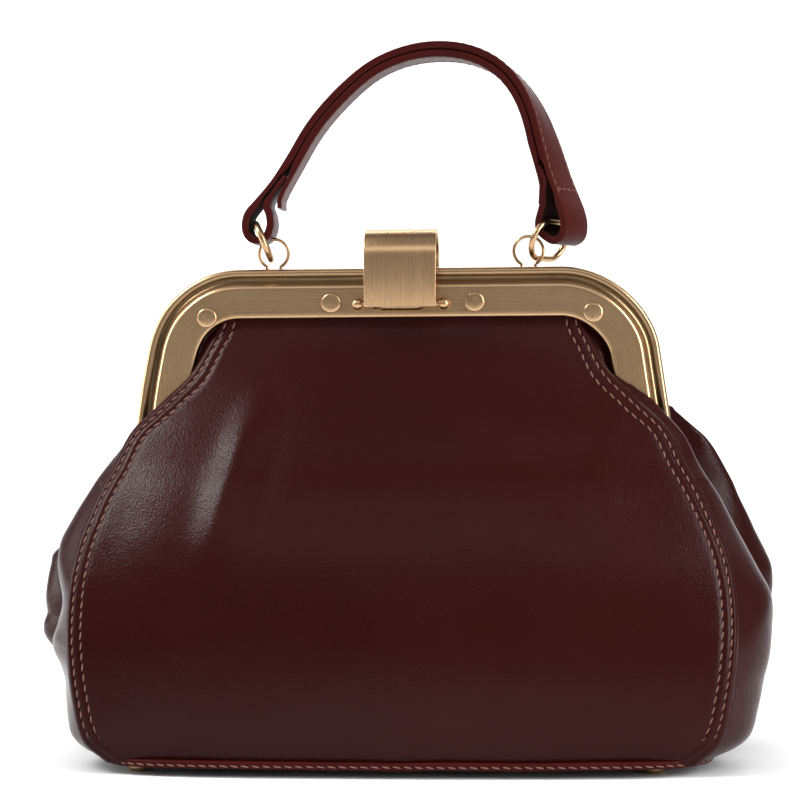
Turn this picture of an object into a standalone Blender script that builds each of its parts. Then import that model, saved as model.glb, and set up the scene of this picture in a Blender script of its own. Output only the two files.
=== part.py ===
# Framed gladstone bag: two hinged brass frames, a curled clasp, a strap handle on rings and a leather body.
# Metres, +Z up, the front faces -Y, and the origin is on the floor under the middle of the bag.
import math

import bmesh
import bpy
from mathutils import Matrix, Vector

mm = 0.001
gap = 0.3 * mm
weldDistance = 0.001 * mm
overrun = 2.0 * mm
front = -1
rear = 1

# Overall sizes of the body
bodyBase = 5.1 * mm
bellyHalfWidth = 113.1 * mm
bellyHalfDepth = 58.0 * mm
gussetHalfWidth = 127.7 * mm
gussetDrop = 14.0 * mm
leatherThickness = 1.4 * mm
panelSeatGap = 0.7 * mm
splitDrop = 2.0 * mm
seamTopInset = 3.0 * mm
foldTopHalfWidth = 40.0 * mm

# Frames
frameTop = 171.4 * mm
frameHalfWidth = 85.16 * mm
frameCornerRadius = 33.0 * mm
frameLegSplay = math.radians(8.18)
legRise = 14.0 * mm
railWidth = 17.6 * mm
plateFace = 6.9 * mm
sheetThickness = 1.2 * mm
beadRadius = 1.6 * mm
beadDepth = 3.5 * mm
beadMargin = 0.1 * mm
grooveInset = 3.5 * mm
shoulderInset = 7.3 * mm

# Hinge
hingeHeight = 97.0 * mm
lugInset = 4.85 * mm
lugThickness = 1.6 * mm
lugRadius = 4.5 * mm
lugRise = 20.0 * mm
lugBarWidth = 6.0 * mm
pinRadius = 1.5 * mm
pinHeadRadius = 3.0 * mm
pinHeadThickness = 1.2 * mm

# Rivets and the strips behind the plates
rivetInset = 12.6 * mm
rivetSpacing = 50.4 * mm
rivetCornerAngle = math.radians(33.6)
rivetHeadRadius = 3.5 * mm
rivetHeadThickness = 1.0 * mm
rivetShankRadius = 1.4 * mm
rivetTailRadius = 2.4 * mm
rivetTailThickness = 0.8 * mm
stripInset = 8.6 * mm
stripWidth = 8.0 * mm
stripThickness = 1.0 * mm
stripCornerAngle = math.radians(48)

# Clasp
claspHalfWidth = 12.6 * mm
claspTop = 185.1 * mm
claspBottom = 157.3 * mm
claspBendRadius = 11.2 * mm
claspFace = 13.2 * mm
claspTailEnd = 171.9 * mm
claspPinHeight = 158.4 * mm
claspPinDepth = 9.6 * mm
claspPinRadius = 0.95 * mm
ballRadius = 2.1 * mm
ballPlace = 15.1 * mm
knuckleRadius = 2.3 * mm
knuckleHalfWidth = 6.6 * mm
earThickness = 1.4 * mm
earRadius = 1.9 * mm
bracketThickness = 0.9 * mm
bracketLow = 160.6 * mm
bracketHigh = 163.9 * mm
springThickness = 0.5 * mm
springHalfWidth = 6.0 * mm
springLip = 2.2 * mm

# Loops, rings and handle
loopPlace = 45.3 * mm
loopHeight = 177.1 * mm
loopRadius = 5.2 * mm
loopWire = 0.6 * mm
loopFootSpread = 2.42 * mm
loopFootDepth = 2.6 * mm
ringPlaceLeft = 46.2 * mm
ringPlaceRight = 47.4 * mm
ringHook = 174.9 * mm
ringSlideLeft = 0.0 * mm
ringSlideRight = 6.0 * mm
ringHalfHeight = 6.8 * mm
ringHalfWidth = 10.6 * mm
ringWire = 1.15 * mm
ringTilt = math.radians(22)
ringTurnLeft = math.radians(-5)
ringTurnRight = math.radians(32)
strapWidth = 16.0 * mm
strapThickness = 1.6 * mm
strapEdge = 0.5 * mm
handleHalfSpan = 50.0 * mm
handleFoot = 191.0 * mm
handleTop = 248.7 * mm
handleTurnTop = 250.0 * mm
handleTurnFoot = 200.0 * mm
handleShiftLeft = 1.2 * mm
handleShiftRight = 2.86 * mm
handleShiftBack = 3.67 * mm
eyeHalfWidth = 5.0 * mm
eyeDrop = 11.0 * mm

# Base
baseThickness = 1.8 * mm
baseUnder = 3.0 * mm
boardSideGap = 6.0 * mm
boardFrontGap = 4.1 * mm
boardCorner = 6.0 * mm
boardThickness = 1.8 * mm
weltThickness = 1.8 * mm
weltHeight = 5.2 * mm
weltUnder = 3.2 * mm
footRadius = 3.6 * mm
footHeight = 2.7 * mm
footShank = 1.2 * mm
footInsetX = 12.0 * mm
footInsetY = 5.0 * mm
liningThickness = 0.7 * mm
liningGap = 0.5 * mm
liningSideGap = 2.5 * mm
foldTuck = 1.9 * mm
foldOverlap = 4.0 * mm

# Outline of the leather body. Each row holds the height share, then the shares of: seam width, front depth,
# seam depth, gusset fold width, puff behind the seam, and how round the gusset is instead of folded.
bodyShares = (
    (0.000, 0.825, 0.962, 0.868, 0.764, 0.00, 1.0),
    (0.026, 0.848, 0.970, 0.870, 0.775, 0.05, 1.0),
    (0.050, 0.880, 0.981, 0.872, 0.850, 0.08, 1.0),
    (0.140, 0.951, 1.000, 0.855, 0.900, 0.12, 1.0),
    (0.241, 0.990, 0.987, 0.808, 0.958, 0.14, 1.0),
    (0.315, 1.000, 0.953, 0.755, 1.000, 0.16, 1.0),
    (0.402, 0.987, 0.887, 0.680, 0.912, 0.41, 0.9),
    (0.483, 0.942, 0.802, 0.586, 0.752, 0.62, 0.7),
    (0.570, 0.853, 0.680, 0.473, 0.502, 0.82, 0.3),
    (0.618, 0.790, 0.603, 0.405, 0.365, 0.80, 0.0),
    (0.658, 0.733, 0.529, 0.350, 0.280, 0.62, 0.0),
    (0.739, 0.606, 0.397, 0.247, 0.165, 0.12, 0.0),
    (0.799, 0.438, 0.294, 0.181, 0.120, 0.03, 0.0),
    (0.870, 0.252, 0.171, 0.111, 0.085, 0.00, 0.0),
    (0.944, 0.093, 0.052, 0.041, 0.034, 0.00, 0.0),
    (0.987, 0.010, 0.000, 0.000, 0.005, 0.00, 0.0),
    (1.000, 0.000, 0.000, 0.000, 0.000, 0.00, 0.0),
)
splitShare = 0.6046
panelBow = 3
puffEndShare = 0.65
lowerShares = (0.0, 0.026, 0.07, 0.14, 0.22, 0.315, 0.40, 0.48, 0.54)
upperShares = (0.70, 0.76, 0.82, 0.88, 0.92, 0.955, 0.985, 1.0)
gussetUpperShares = (0.66, 0.72, 0.78, 0.85, 0.91, 0.955)
liningShares = (0.03, 0.10, 0.22, 0.34, 0.45, 0.53, 0.575, 0.64, 0.71, 0.80, 0.88, 0.94, 0.985)
panelColumnShares = (0.0, 0.3, 0.52, 0.7, 0.84, 0.94, 1.0)
gussetColumnShares = (0.0, 0.1, 0.22, 0.36, 0.5, 0.64, 0.78, 0.9, 1.0)

# The middle line of the handle, as shares of its half span and of its rise over the foot
handleShares = (
    (-0.824, 0.229),
    (-0.632, 0.501),
    (-0.412, 0.702),
    (-0.172, 0.870),
    (0.070, 0.957),
    (0.226, 0.983),
    (0.444, 0.957),
    (0.662, 0.856),
    (0.830, 0.702),
    (0.958, 0.515),
    (1.040, 0.277),
)
# The ends of the straps, as shares of the eye's half width inwards from the foot and of its drop below it.
# The outer strap goes down outside, round the ring and back up between the layers.
eyeLeftShares = (
    (0.98, -1.09),
    (-0.10, -0.50),
    (-0.98, -0.05),
    (-1.24, 0.36),
    (-1.06, 0.71),
    (-0.52, 0.89),
    (0.02, 0.73),
    (0.38, 0.42),
    (0.62, 0.06),
    (0.86, -0.30),
    (1.32, -0.76),
)
eyeRightShares = (
    (-0.78, -1.46),
    (-1.12, -0.95),
    (-1.46, -0.50),
    (-1.86, 0.00),
    (-2.00, 0.41),
    (-1.76, 0.77),
    (-1.10, 0.94),
    (-0.42, 0.86),
    (0.08, 0.64),
    (0.18, 0.34),
    (0.00, 0.05),
    (-0.26, -0.32),
    (-0.42, -0.65),
    (-0.46, -1.00),
)
innerLeftShares = ((1.52, -0.36), (1.82, -0.74))
innerRightShares = ((-0.02, -1.00), (0.10, -0.68), (0.20, -0.42))

cornerSteps = 8
brassColor = (0.44, 0.33, 0.19, 1)
leatherColor = (0.075, 0.016, 0.012, 1)
liningColor = (0.10, 0.07, 0.05, 1)
boardColor = (0.30, 0.22, 0.14, 1)

plateBack = plateFace - sheetThickness
panelSeat = plateBack - panelSeatGap
stripFace = panelSeat - leatherThickness - gap
splitHeight = hingeHeight - splitDrop
plateLow = frameTop - railWidth
cornerReach = frameCornerRadius * math.tan((math.pi / 2 - frameLegSplay) / 2)
cornerX = frameHalfWidth - cornerReach
cornerZ = frameTop - frameCornerRadius
legTopX = cornerX + frameCornerRadius * math.cos(frameLegSplay)
legTopZ = cornerZ + frameCornerRadius * math.sin(frameLegSplay)
legEnd = hingeHeight + legRise
lugTop = hingeHeight + lugRise
hingeInner = legTopX + (legTopZ - (legEnd + lugTop) / 2) * math.tan(frameLegSplay) - lugInset
loopDepth = beadDepth


def clearScene():
    for item in list(bpy.data.objects):
        bpy.data.objects.remove(item)


def makeCollection(name, hidden):
    made = bpy.data.collections.new(name)
    bpy.context.scene.collection.children.link(made)
    made.hide_render = hidden
    return made


def makeMaterial(name, color, roughness, metallic):
    made = bpy.data.materials.new(name)
    made.use_nodes = True
    shader = made.node_tree.nodes["Principled BSDF"]
    shader.inputs["Base Color"].default_value = color
    shader.inputs["Roughness"].default_value = roughness
    shader.inputs["Metallic"].default_value = metallic
    made.diffuse_color = color
    return made


def addPart(name, mesh, finish, body):
    color, roughness, metallic = finish
    mesh.materials.clear()
    mesh.materials.append(makeMaterial(name, color, roughness, metallic))
    part = bpy.data.objects.new(name, mesh)
    parts.objects.link(part)
    part.parent = body
    part.matrix_parent_inverse = body.matrix_world.inverted()
    return part


def makeBody(name, place):
    empty = bpy.data.objects.new(name, None)
    empty.location = place
    parts.objects.link(empty)
    bpy.context.view_layer.update()
    return empty


def closedMesh(name, shape):
    bmesh.ops.remove_doubles(shape, verts=shape.verts, dist=weldDistance)
    bmesh.ops.recalc_face_normals(shape, faces=shape.faces)
    if shape.calc_volume(signed=True) < 0:
        bmesh.ops.reverse_faces(shape, faces=shape.faces)
    mesh = bpy.data.meshes.new(name)
    shape.to_mesh(mesh)
    shape.free()
    return mesh


def meshFromCurve(curve, turn):
    holder = bpy.data.objects.new(curve.name, curve)
    parts.objects.link(holder)
    bpy.context.view_layer.update()
    graph = bpy.context.evaluated_depsgraph_get()
    mesh = bpy.data.meshes.new_from_object(holder.evaluated_get(graph))
    name = curve.name
    bpy.data.objects.remove(holder)
    mesh.transform(turn)
    shape = bmesh.new()
    shape.from_mesh(mesh)
    bpy.data.meshes.remove(mesh)
    return closedMesh(name, shape)


def addSpline(curve, points, cyclic):
    spline = curve.splines.new("POLY")
    spline.points.add(len(points) - 1)
    for slot, point in zip(spline.points, points):
        slot.co = (*point, 0, 1) if len(point) == 2 else (*point, 1)
    spline.use_cyclic_u = cyclic


def wireMesh(name, points, radius, cyclic=False):
    curve = bpy.data.curves.new(name, "CURVE")
    curve.dimensions = "3D"
    curve.bevel_depth = radius
    curve.bevel_resolution = 2
    curve.use_fill_caps = True
    addSpline(curve, points, cyclic)
    return meshFromCurve(curve, Matrix.Identity(4))


# Local X and Y of a flat outline become world X and Z, and its thickness runs towards -Y
standing = Matrix.Rotation(math.radians(90), 4, "X")
# Local X and Y of a flat outline become world Y and Z, and its thickness runs along X
sideways = Matrix(((0, 0, 1, 0), (1, 0, 0, 0), (0, 1, 0, 0), (0, 0, 0, 1)))


def plateMesh(name, outlines, thickness, turn):
    """A flat outline, with holes as further outlines, made thick about its own plane."""
    curve = bpy.data.curves.new(name, "CURVE")
    curve.dimensions = "2D"
    curve.fill_mode = "BOTH"
    curve.extrude = thickness / 2
    for outline in outlines:
        addSpline(curve, outline, True)
    return meshFromCurve(curve, turn)


def sweptMesh(name, path, profile, turn, cyclic=False):
    """A closed profile carried along a flat path; its first axis points to the right of the way travelled."""
    section = bpy.data.curves.new(name + "_section", "CURVE")
    section.dimensions = "2D"
    addSpline(section, profile, True)
    guide = bpy.data.objects.new(name + "_section", section)
    guides.objects.link(guide)
    guide.hide_render = True
    curve = bpy.data.curves.new(name, "CURVE")
    curve.dimensions = "2D"
    curve.fill_mode = "NONE"
    curve.bevel_mode = "OBJECT"
    curve.bevel_object = guide
    curve.use_fill_caps = not cyclic
    addSpline(curve, path, cyclic)
    mesh = meshFromCurve(curve, turn)
    bpy.data.objects.remove(guide)
    return mesh


def turnedMesh(name, profile, steps, turn):
    """A profile of radius and height, from the top down, turned about its axis."""
    shape = bmesh.new()
    points = [shape.verts.new((radius, 0, height)) for radius, height in profile]
    edges = [shape.edges.new(pair) for pair in zip(points, points[1:])]
    bmesh.ops.spin(
        shape,
        geom=points + edges,
        cent=(0, 0, 0),
        axis=(0, 0, 1),
        angle=2 * math.pi,
        steps=steps,
        use_merge=True,
    )
    shape.transform(turn)
    return closedMesh(name, shape)


def sheetMesh(name, rows, thickness, even=True):
    """A sheet through rows of points, its outer side as given, made thick towards the inside."""
    shape = bmesh.new()
    grid = [[shape.verts.new(point) for point in row] for row in rows]
    for low, high in zip(grid, grid[1:]):
        for column in range(len(low) - 1):
            shape.faces.new((low[column], low[column + 1], high[column + 1], high[column]))
    mesh = bpy.data.meshes.new(name)
    shape.to_mesh(mesh)
    shape.free()
    holder = bpy.data.objects.new(name, mesh)
    parts.objects.link(holder)
    thick = holder.modifiers.new("thickness", "SOLIDIFY")
    thick.thickness = thickness
    thick.offset = -1
    thick.use_even_offset = even
    bpy.context.view_layer.update()
    graph = bpy.context.evaluated_depsgraph_get()
    solid = bpy.data.meshes.new_from_object(holder.evaluated_get(graph))
    bpy.data.objects.remove(holder)
    bpy.data.meshes.remove(mesh)
    shape = bmesh.new()
    shape.from_mesh(solid)
    bpy.data.meshes.remove(solid)
    return closedMesh(name, shape)


def combine(part, mesh, operation):
    """Joins a mesh to a part or cuts it out, and leaves the Boolean on the part."""
    helper = bpy.data.objects.new(part.name + "_" + operation.lower(), mesh)
    guides.objects.link(helper)
    helper.hide_render = True
    helper.display_type = "WIRE"
    change = part.modifiers.new(operation.lower(), "BOOLEAN")
    change.object = helper
    change.operation = operation
    change.solver = "EXACT"


def rodMesh(name, start, end, radius, steps=12):
    """A cylinder from one point to another."""
    start, end = Vector(start), Vector(end)
    shape = bmesh.new()
    bmesh.ops.create_cone(
        shape,
        cap_ends=True,
        segments=steps,
        radius1=radius,
        radius2=radius,
        depth=(end - start).length,
    )
    turn = (end - start).to_track_quat("Z", "Y").to_matrix().to_4x4()
    shape.transform(Matrix.Translation((start + end) / 2) @ turn)
    return closedMesh(name, shape)


def boxMesh(name, low, high):
    shape = bmesh.new()
    bmesh.ops.create_cube(shape, size=1)
    size = Matrix.Diagonal([b - a for a, b in zip(low, high)] + [1])
    middle = Matrix.Translation([(a + b) / 2 for a, b in zip(low, high)])
    shape.transform(middle @ size)
    return closedMesh(name, shape)


def arcPoints(centre, radius, first, last, steps):
    """Points on an arc; angles run anticlockwise from the first axis."""
    angles = [first + (last - first) * i / steps for i in range(steps + 1)]
    return [(centre[0] + radius * math.cos(a), centre[1] + radius * math.sin(a)) for a in angles]


def between(a, b, share):
    return a + (b - a) * share


def smoothStep(share):
    share = min(max(share, 0), 1)
    return share * share * (3 - 2 * share)


def smoothAt(table, at, column):
    """A smooth value between the rows of a table, whose first column rises."""
    last = len(table) - 1
    row = 0
    while row < last - 1 and table[row + 1][0] < at:
        row += 1
    span = table[row + 1][0] - table[row][0]
    share = (at - table[row][0]) / span
    slopes = []
    for place in (row, row + 1):
        low, high = max(place - 1, 0), min(place + 1, last)
        slopes.append((table[high][column] - table[low][column]) / (table[high][0] - table[low][0]) * span)
    square, cube = share**2, share**3
    return (
        table[row][column] * (2 * cube - 3 * square + 1)
        + slopes[0] * (cube - 2 * square + share)
        + table[row + 1][column] * (3 * square - 2 * cube)
        + slopes[1] * (cube - square)
    )


def smoothPath(points, steps):
    """A smooth line through points, with this many pieces between each two."""
    table = [(i, *point) for i, point in enumerate(points)]
    total = (len(points) - 1) * steps
    places = [i / steps for i in range(total + 1)]
    return [tuple(smoothAt(table, at, column + 1) for column in range(len(points[0]))) for at in places]


def railPath(inset, cornerAngle=None):
    """The frame's outline from left to right, this far inside its outer edge."""
    radius = frameCornerRadius - inset
    whole = math.pi / 2 - frameLegSplay
    turn = whole if cornerAngle is None else cornerAngle
    right = arcPoints((cornerX, cornerZ), radius, math.pi / 2, math.pi / 2 - turn, cornerSteps)
    if cornerAngle is None:
        legTop = right[-1]
        drop = (legTop[1] - legEnd) / math.cos(frameLegSplay)
        right.append((legTop[0] + drop * math.sin(frameLegSplay), legEnd))
    left = [(-x, z) for x, z in reversed(right)]
    return left + right


def heightAt(share):
    """Heights as shares: splitShare is where the leather starts to turn with the frames."""
    if share < splitShare:
        return between(bodyBase, splitHeight, share / splitShare)
    return between(splitHeight, plateLow, (share - splitShare) / (1 - splitShare))


def shareAt(height):
    if height < splitHeight:
        return splitShare * max((height - bodyBase) / (splitHeight - bodyBase), 0)
    return min(splitShare + (1 - splitShare) * (height - splitHeight) / (plateLow - splitHeight), 1)


def bodyAt(height):
    """Half widths and depths of the leather body at this height."""
    share = shareAt(height)
    seam, centre, seamDepth, fold, puff, roundness = [smoothAt(bodyShares, share, i) for i in range(1, 7)]
    seamTop = cornerX + seamTopInset
    return {
        "seam": between(seamTop, bellyHalfWidth, seam),
        "centre": between(panelSeat, bellyHalfDepth, centre),
        "seamDepth": between(panelSeat, bellyHalfDepth, seamDepth),
        "fold": between(foldTopHalfWidth, gussetHalfWidth, fold),
        "puff": (gussetHalfWidth - bellyHalfWidth) * puff,
        "roundness": roundness,
    }


def panelRow(height, side, tuck=0):
    body = bodyAt(height)
    shares = [-s for s in reversed(panelColumnShares[1:])] + list(panelColumnShares)
    row = []
    for share in shares:
        depth = between(body["centre"], body["seamDepth"], abs(share) ** panelBow) - tuck
        row.append((share * (body["seam"] - tuck * 1.5), side * depth, height))
    return row


def gussetRow(height, side):
    """From the front seam in to the fold and out to the rear seam."""
    body = bodyAt(height)
    behind = smoothStep((height - splitHeight) / gussetDrop)
    start = body["seamDepth"] - leatherThickness * (1 + behind) - gap * (1 + behind)
    half = []
    for share in gussetColumnShares:
        along = between(share, math.sin(math.pi / 2 * share), body["roundness"])
        inwards = (body["fold"] - body["seam"]) * along
        puff = body["puff"] * math.sin(math.pi * min(share / puffEndShare, 1)) ** 2
        half.append((side * (body["seam"] + gap + inwards + puff), start * (1 - share), height))
    return [(x, -y, z) for x, y, z in half] + [(x, y, z) for x, y, z in reversed(half[:-1])]


def offsetRing(points, distance):
    """A closed outline, given anticlockwise, moved outwards."""
    moved = []
    for i, point in enumerate(points):
        before, here, after = Vector(points[i - 1]), Vector(point), Vector(points[(i + 1) % len(points)])
        first, second = (here - before).normalized(), (after - here).normalized()
        outwards = Vector((first.y + second.y, -first.x - second.x)).normalized()
        lean = max(outwards.dot(Vector((first.y, -first.x))), math.sqrt(0.5))
        moved.append(tuple(here + outwards * (distance / lean)))
    return moved


def panelLower(side):
    name = "front_panel_lower" if side == front else "rear_panel_lower"
    heights = [heightAt(s) for s in lowerShares] + [between(heightAt(lowerShares[-1]), splitHeight, 0.6)]
    heights.append(splitHeight - gap / 2)
    rows = [panelRow(height, side) for height in heights]
    if side == rear:
        rows = [list(reversed(row)) for row in rows]
    addPart(name, sheetMesh(name, rows, leatherThickness), leather, root)


def panelUpper(side, body):
    name = "front_panel_upper" if side == front else "rear_panel_upper"
    firstHeight = splitHeight - foldOverlap
    steps = (0, 0.4, 0.8, 1.3, 1.9, 2.6, 3.4)
    heights = [firstHeight + foldOverlap * step for step in steps]
    tucks = [foldTuck, foldTuck, foldTuck, foldTuck * 0.9, foldTuck * 0.55, foldTuck * 0.2, 0]
    heights += [heightAt(s) for s in upperShares]
    heights.append(frameTop - stripInset)
    tucks += [0] * (len(heights) - len(tucks))
    rows = [panelRow(height, side, tuck) for height, tuck in zip(heights, tucks)]
    if side == rear:
        rows = [list(reversed(row)) for row in rows]
    part = addPart(name, sheetMesh(name, rows, leatherThickness), leather, body)
    drillRivets(part, side, (1, 2))


def gusset(side):
    word = "left" if side < 0 else "right"
    lower = [heightAt(s) for s in lowerShares] + [between(heightAt(lowerShares[-1]), splitHeight, 0.6)]
    lower.append(splitHeight - gap)
    upper = [splitHeight + gap, between(splitHeight, heightAt(gussetUpperShares[0]), 0.5)]
    upper += [heightAt(s) for s in gussetUpperShares]
    for level, heights in (("lower", lower), ("upper", upper)):
        name = f"gusset_{word}_{level}"
        rows = [gussetRow(height, side) for height in heights]
        if side < 0:
            rows = [list(reversed(row)) for row in rows]
        addPart(name, sheetMesh(name, rows, leatherThickness, False), leather, root)


def roundedRectangle(halfX, halfY, radius, steps=4):
    points = []
    for signX, signY, start in ((1, 1, 0), (-1, 1, 1), (-1, -1, 2), (1, -1, 3)):
        centre = (signX * (halfX - radius), signY * (halfY - radius))
        first = start * math.pi / 2
        points += arcPoints(centre, radius, first, first + math.pi / 2, steps)
    return points


def lining():
    """A thin bag inside the leather, open at the top."""
    count = 28
    rows = []
    for share in liningShares:
        height = heightAt(share)
        body = bodyAt(height)
        inside = leatherThickness + liningGap
        if height > splitHeight - foldOverlap:
            inside += leatherThickness * 0.3
        if splitHeight - 2 * foldOverlap < height < splitHeight + 3 * foldOverlap:
            inside += foldTuck + leatherThickness
        inside = min(inside, body["centre"] - stripFace + liningGap)
        halfX = min(body["fold"], body["seam"]) - leatherThickness - liningSideGap
        if height > splitHeight:
            halfX -= liningSideGap
        power = 2 / 5
        row = []
        for i in range(count):
            angle = 2 * math.pi * (i + 0.5) / count
            c, s = math.cos(angle), math.sin(angle)
            x = halfX * math.copysign(abs(c) ** power, c)
            depth = between(body["centre"], body["seamDepth"], abs(x / body["seam"]) ** panelBow) - inside
            y = depth * math.copysign(abs(s) ** power, s)
            row.append((x, y, height))
        rows.append(row)
    floor = [(x * 0.93, y * 0.93, baseTop + boardThickness + 2 * gap + liningThickness) for x, y, z in rows[0]]
    shape = bmesh.new()
    grid = [[shape.verts.new(point) for point in row] for row in [floor] + rows]
    for low, high in zip(grid, grid[1:]):
        for i in range(count):
            shape.faces.new((low[i], low[(i + 1) % count], high[(i + 1) % count], high[i]))
    shape.faces.new(list(reversed(grid[0])))
    mesh = bpy.data.meshes.new("lining")
    shape.to_mesh(mesh)
    shape.free()
    part = addPart("lining", mesh, cloth, root)
    thick = part.modifiers.new("thickness", "SOLIDIFY")
    thick.thickness = liningThickness
    thick.offset = -1


def frameProfile():
    """Inset from the outer edge, then depth in front of the parting plane."""
    diagonal = beadRadius * math.cos(math.pi / 4)
    beadInset = beadRadius + beadMargin
    profile = [
        (beadInset, beadDepth - beadRadius),
        (beadInset - diagonal, beadDepth - diagonal),
        (beadInset - beadRadius, beadDepth),
        (beadInset - diagonal, beadDepth + diagonal),
        (beadInset, beadDepth + beadRadius),
        (beadInset + diagonal, beadDepth + diagonal),
        (grooveInset, beadDepth + beadRadius / 2),
        (grooveInset + beadRadius / 2, beadDepth + beadRadius / 2),
        (shoulderInset - sheetThickness * 0.8, plateFace - sheetThickness / 2),
        (shoulderInset, plateFace),
        (railWidth - sheetThickness / 2, plateFace),
        (railWidth, plateFace - sheetThickness / 2),
        (railWidth, plateBack),
        (shoulderInset + sheetThickness / 2, plateBack),
        (shoulderInset - sheetThickness / 3, plateBack - sheetThickness / 2),
        (grooveInset + sheetThickness, beadDepth - sheetThickness / 2),
        (grooveInset, beadDepth - sheetThickness),
    ]
    return profile


def rivetPlaces():
    corner = frameCornerRadius - rivetInset
    outerX = cornerX + corner * math.sin(rivetCornerAngle)
    outerZ = cornerZ + corner * math.cos(rivetCornerAngle)
    inner = frameTop - rivetInset
    return [(-outerX, outerZ), (-rivetSpacing / 2, inner), (rivetSpacing / 2, inner), (outerX, outerZ)]


def drillRivets(part, side, which=(0, 1, 2, 3)):
    places = rivetPlaces()
    for index in which:
        x, z = places[index]
        low, high = side * stripFace / 2, side * (plateFace + overrun)
        hole = rodMesh("rivet_hole", (x, low, z), (x, high, z), rivetShankRadius + gap)
        combine(part, hole, "DIFFERENCE")


def lugOutline(side):
    """The eye round the pin and the bar that leans out to the leg, in Y and Z."""
    eye = arcPoints((0, hingeHeight), lugRadius, math.radians(190), math.radians(350), 10)
    high = [(beadDepth - lugBarWidth / 2, lugTop), (beadDepth + lugBarWidth / 2, lugTop)]
    outline = [(y, z) for y, z in eye] + [(lugRadius, hingeHeight + lugRadius / 3)]
    outline += [high[1], high[0], (-lugRadius, hingeHeight + lugRadius / 2)]
    hole = arcPoints((0, hingeHeight), pinRadius + gap, 0, 2 * math.pi, 14)[:-1]
    return [[(side * y, z) for y, z in outline], hole]


def frame(side, body):
    name = "front_frame" if side == front else "rear_frame"
    profile = [(inset, -side * depth) for inset, depth in frameProfile()]
    part = addPart(name, sweptMesh(name, railPath(0), profile, standing), brass, body)
    first = hingeInner if side == front else hingeInner + lugThickness + gap
    for across in (-1, 1):
        place = Matrix.Translation((across * (first + lugThickness / 2), 0, 0))
        lug = plateMesh("lug", lugOutline(side), lugThickness, place @ sideways)
        combine(part, lug, "UNION")
    drillRivets(part, side)
    if side == rear:
        for across in (-1, 1):
            for foot in (-1, 1):
                x = across * loopPlace + foot * loopFootSpread
                top = (x, loopDepth, frameTop + overrun)
                low = (x, loopDepth, frameTop - loopFootDepth - gap)
                combine(part, rodMesh("foot_hole", low, top, loopWire + gap, 8), "DIFFERENCE")


def clampStrip(side, body):
    name = "front_clamp_strip" if side == front else "rear_clamp_strip"
    near, far = stripFace - stripThickness, stripFace
    corners = ((0, near), (0, far), (stripWidth, far), (stripWidth, near))
    profile = [(inset, -side * depth) for inset, depth in corners]
    path = railPath(stripInset, stripCornerAngle)
    part = addPart(name, sweptMesh(name, path, profile, standing), brass, body)
    drillRivets(part, side)


def rivets(side, body):
    word = "front" if side == front else "rear"
    head = plateFace + gap
    tail = stripFace - stripThickness - gap
    profile = [
        (0, head + rivetHeadThickness),
        (rivetHeadRadius * 0.86, head + rivetHeadThickness * 0.9),
        (rivetHeadRadius, head + rivetHeadThickness * 0.45),
        (rivetHeadRadius, head),
        (rivetShankRadius, head),
        (rivetShankRadius, tail),
        (rivetTailRadius, tail),
        (rivetTailRadius * 0.8, tail - rivetTailThickness),
        (0, tail - rivetTailThickness),
    ]
    for number, (x, z) in enumerate(rivetPlaces(), 1):
        name = f"{word}_rivet_{number}"
        turn = Matrix.Translation((x, 0, z)) @ Matrix.Rotation(-side * math.radians(90), 4, "X")
        addPart(name, turnedMesh(name, profile, 14, turn), brass, body)


def hingePins():
    inner = hingeInner - gap
    outer = hingeInner + 2 * lugThickness + 2 * gap
    profile = [
        (0, outer + pinHeadThickness),
        (pinHeadRadius * 0.7, outer + pinHeadThickness),
        (pinHeadRadius, outer + pinHeadThickness / 2),
        (pinHeadRadius, outer),
        (pinRadius, outer),
        (pinRadius, inner),
        (pinHeadRadius, inner),
        (pinHeadRadius, inner - pinHeadThickness / 2),
        (pinHeadRadius * 0.7, inner - pinHeadThickness),
        (0, inner - pinHeadThickness),
    ]
    for across, word in ((-1, "left"), (1, "right")):
        name = f"hinge_pin_{word}"
        turn = Matrix.Translation((0, 0, hingeHeight)) @ Matrix.Rotation(across * math.radians(90), 4, "Y")
        addPart(name, turnedMesh(name, profile, 14, turn), brass, root)


def claspFlap():
    """A plate that runs up the front, over both beads, and ends above the rear one."""
    centreY = claspBendRadius - claspFace
    centreZ = claspTop - claspBendRadius
    inner = claspBendRadius - sheetThickness
    outside = arcPoints((centreY, centreZ), claspBendRadius, math.pi, 0, 14)
    inside = arcPoints((centreY, centreZ), inner, 0, math.pi, 14)
    outline = [(-claspFace, claspBottom)] + outside + [(centreY + claspBendRadius, claspTailEnd)]
    outline += [(centreY + inner, claspTailEnd)] + inside + [(sheetThickness - claspFace, claspBottom)]
    mesh = plateMesh("clasp_flap", [outline], 2 * claspHalfWidth, sideways)
    part = addPart("clasp_flap", mesh, brass, claspBody)
    web = boxMesh(
        "web",
        (-knuckleHalfWidth, -claspFace + sheetThickness / 2, claspBottom + gap),
        (knuckleHalfWidth, -claspPinDepth, claspPinHeight + knuckleRadius / 2),
    )
    combine(part, web, "UNION")
    start = (-knuckleHalfWidth, -claspPinDepth, claspPinHeight)
    end = (knuckleHalfWidth, -claspPinDepth, claspPinHeight)
    combine(part, rodMesh("knuckle", start, end, knuckleRadius, 16), "UNION")
    start = (start[0] - overrun, *start[1:])
    end = (end[0] + overrun, *end[1:])
    combine(part, rodMesh("knuckle_bore", start, end, claspPinRadius + gap, 12), "DIFFERENCE")


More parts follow.
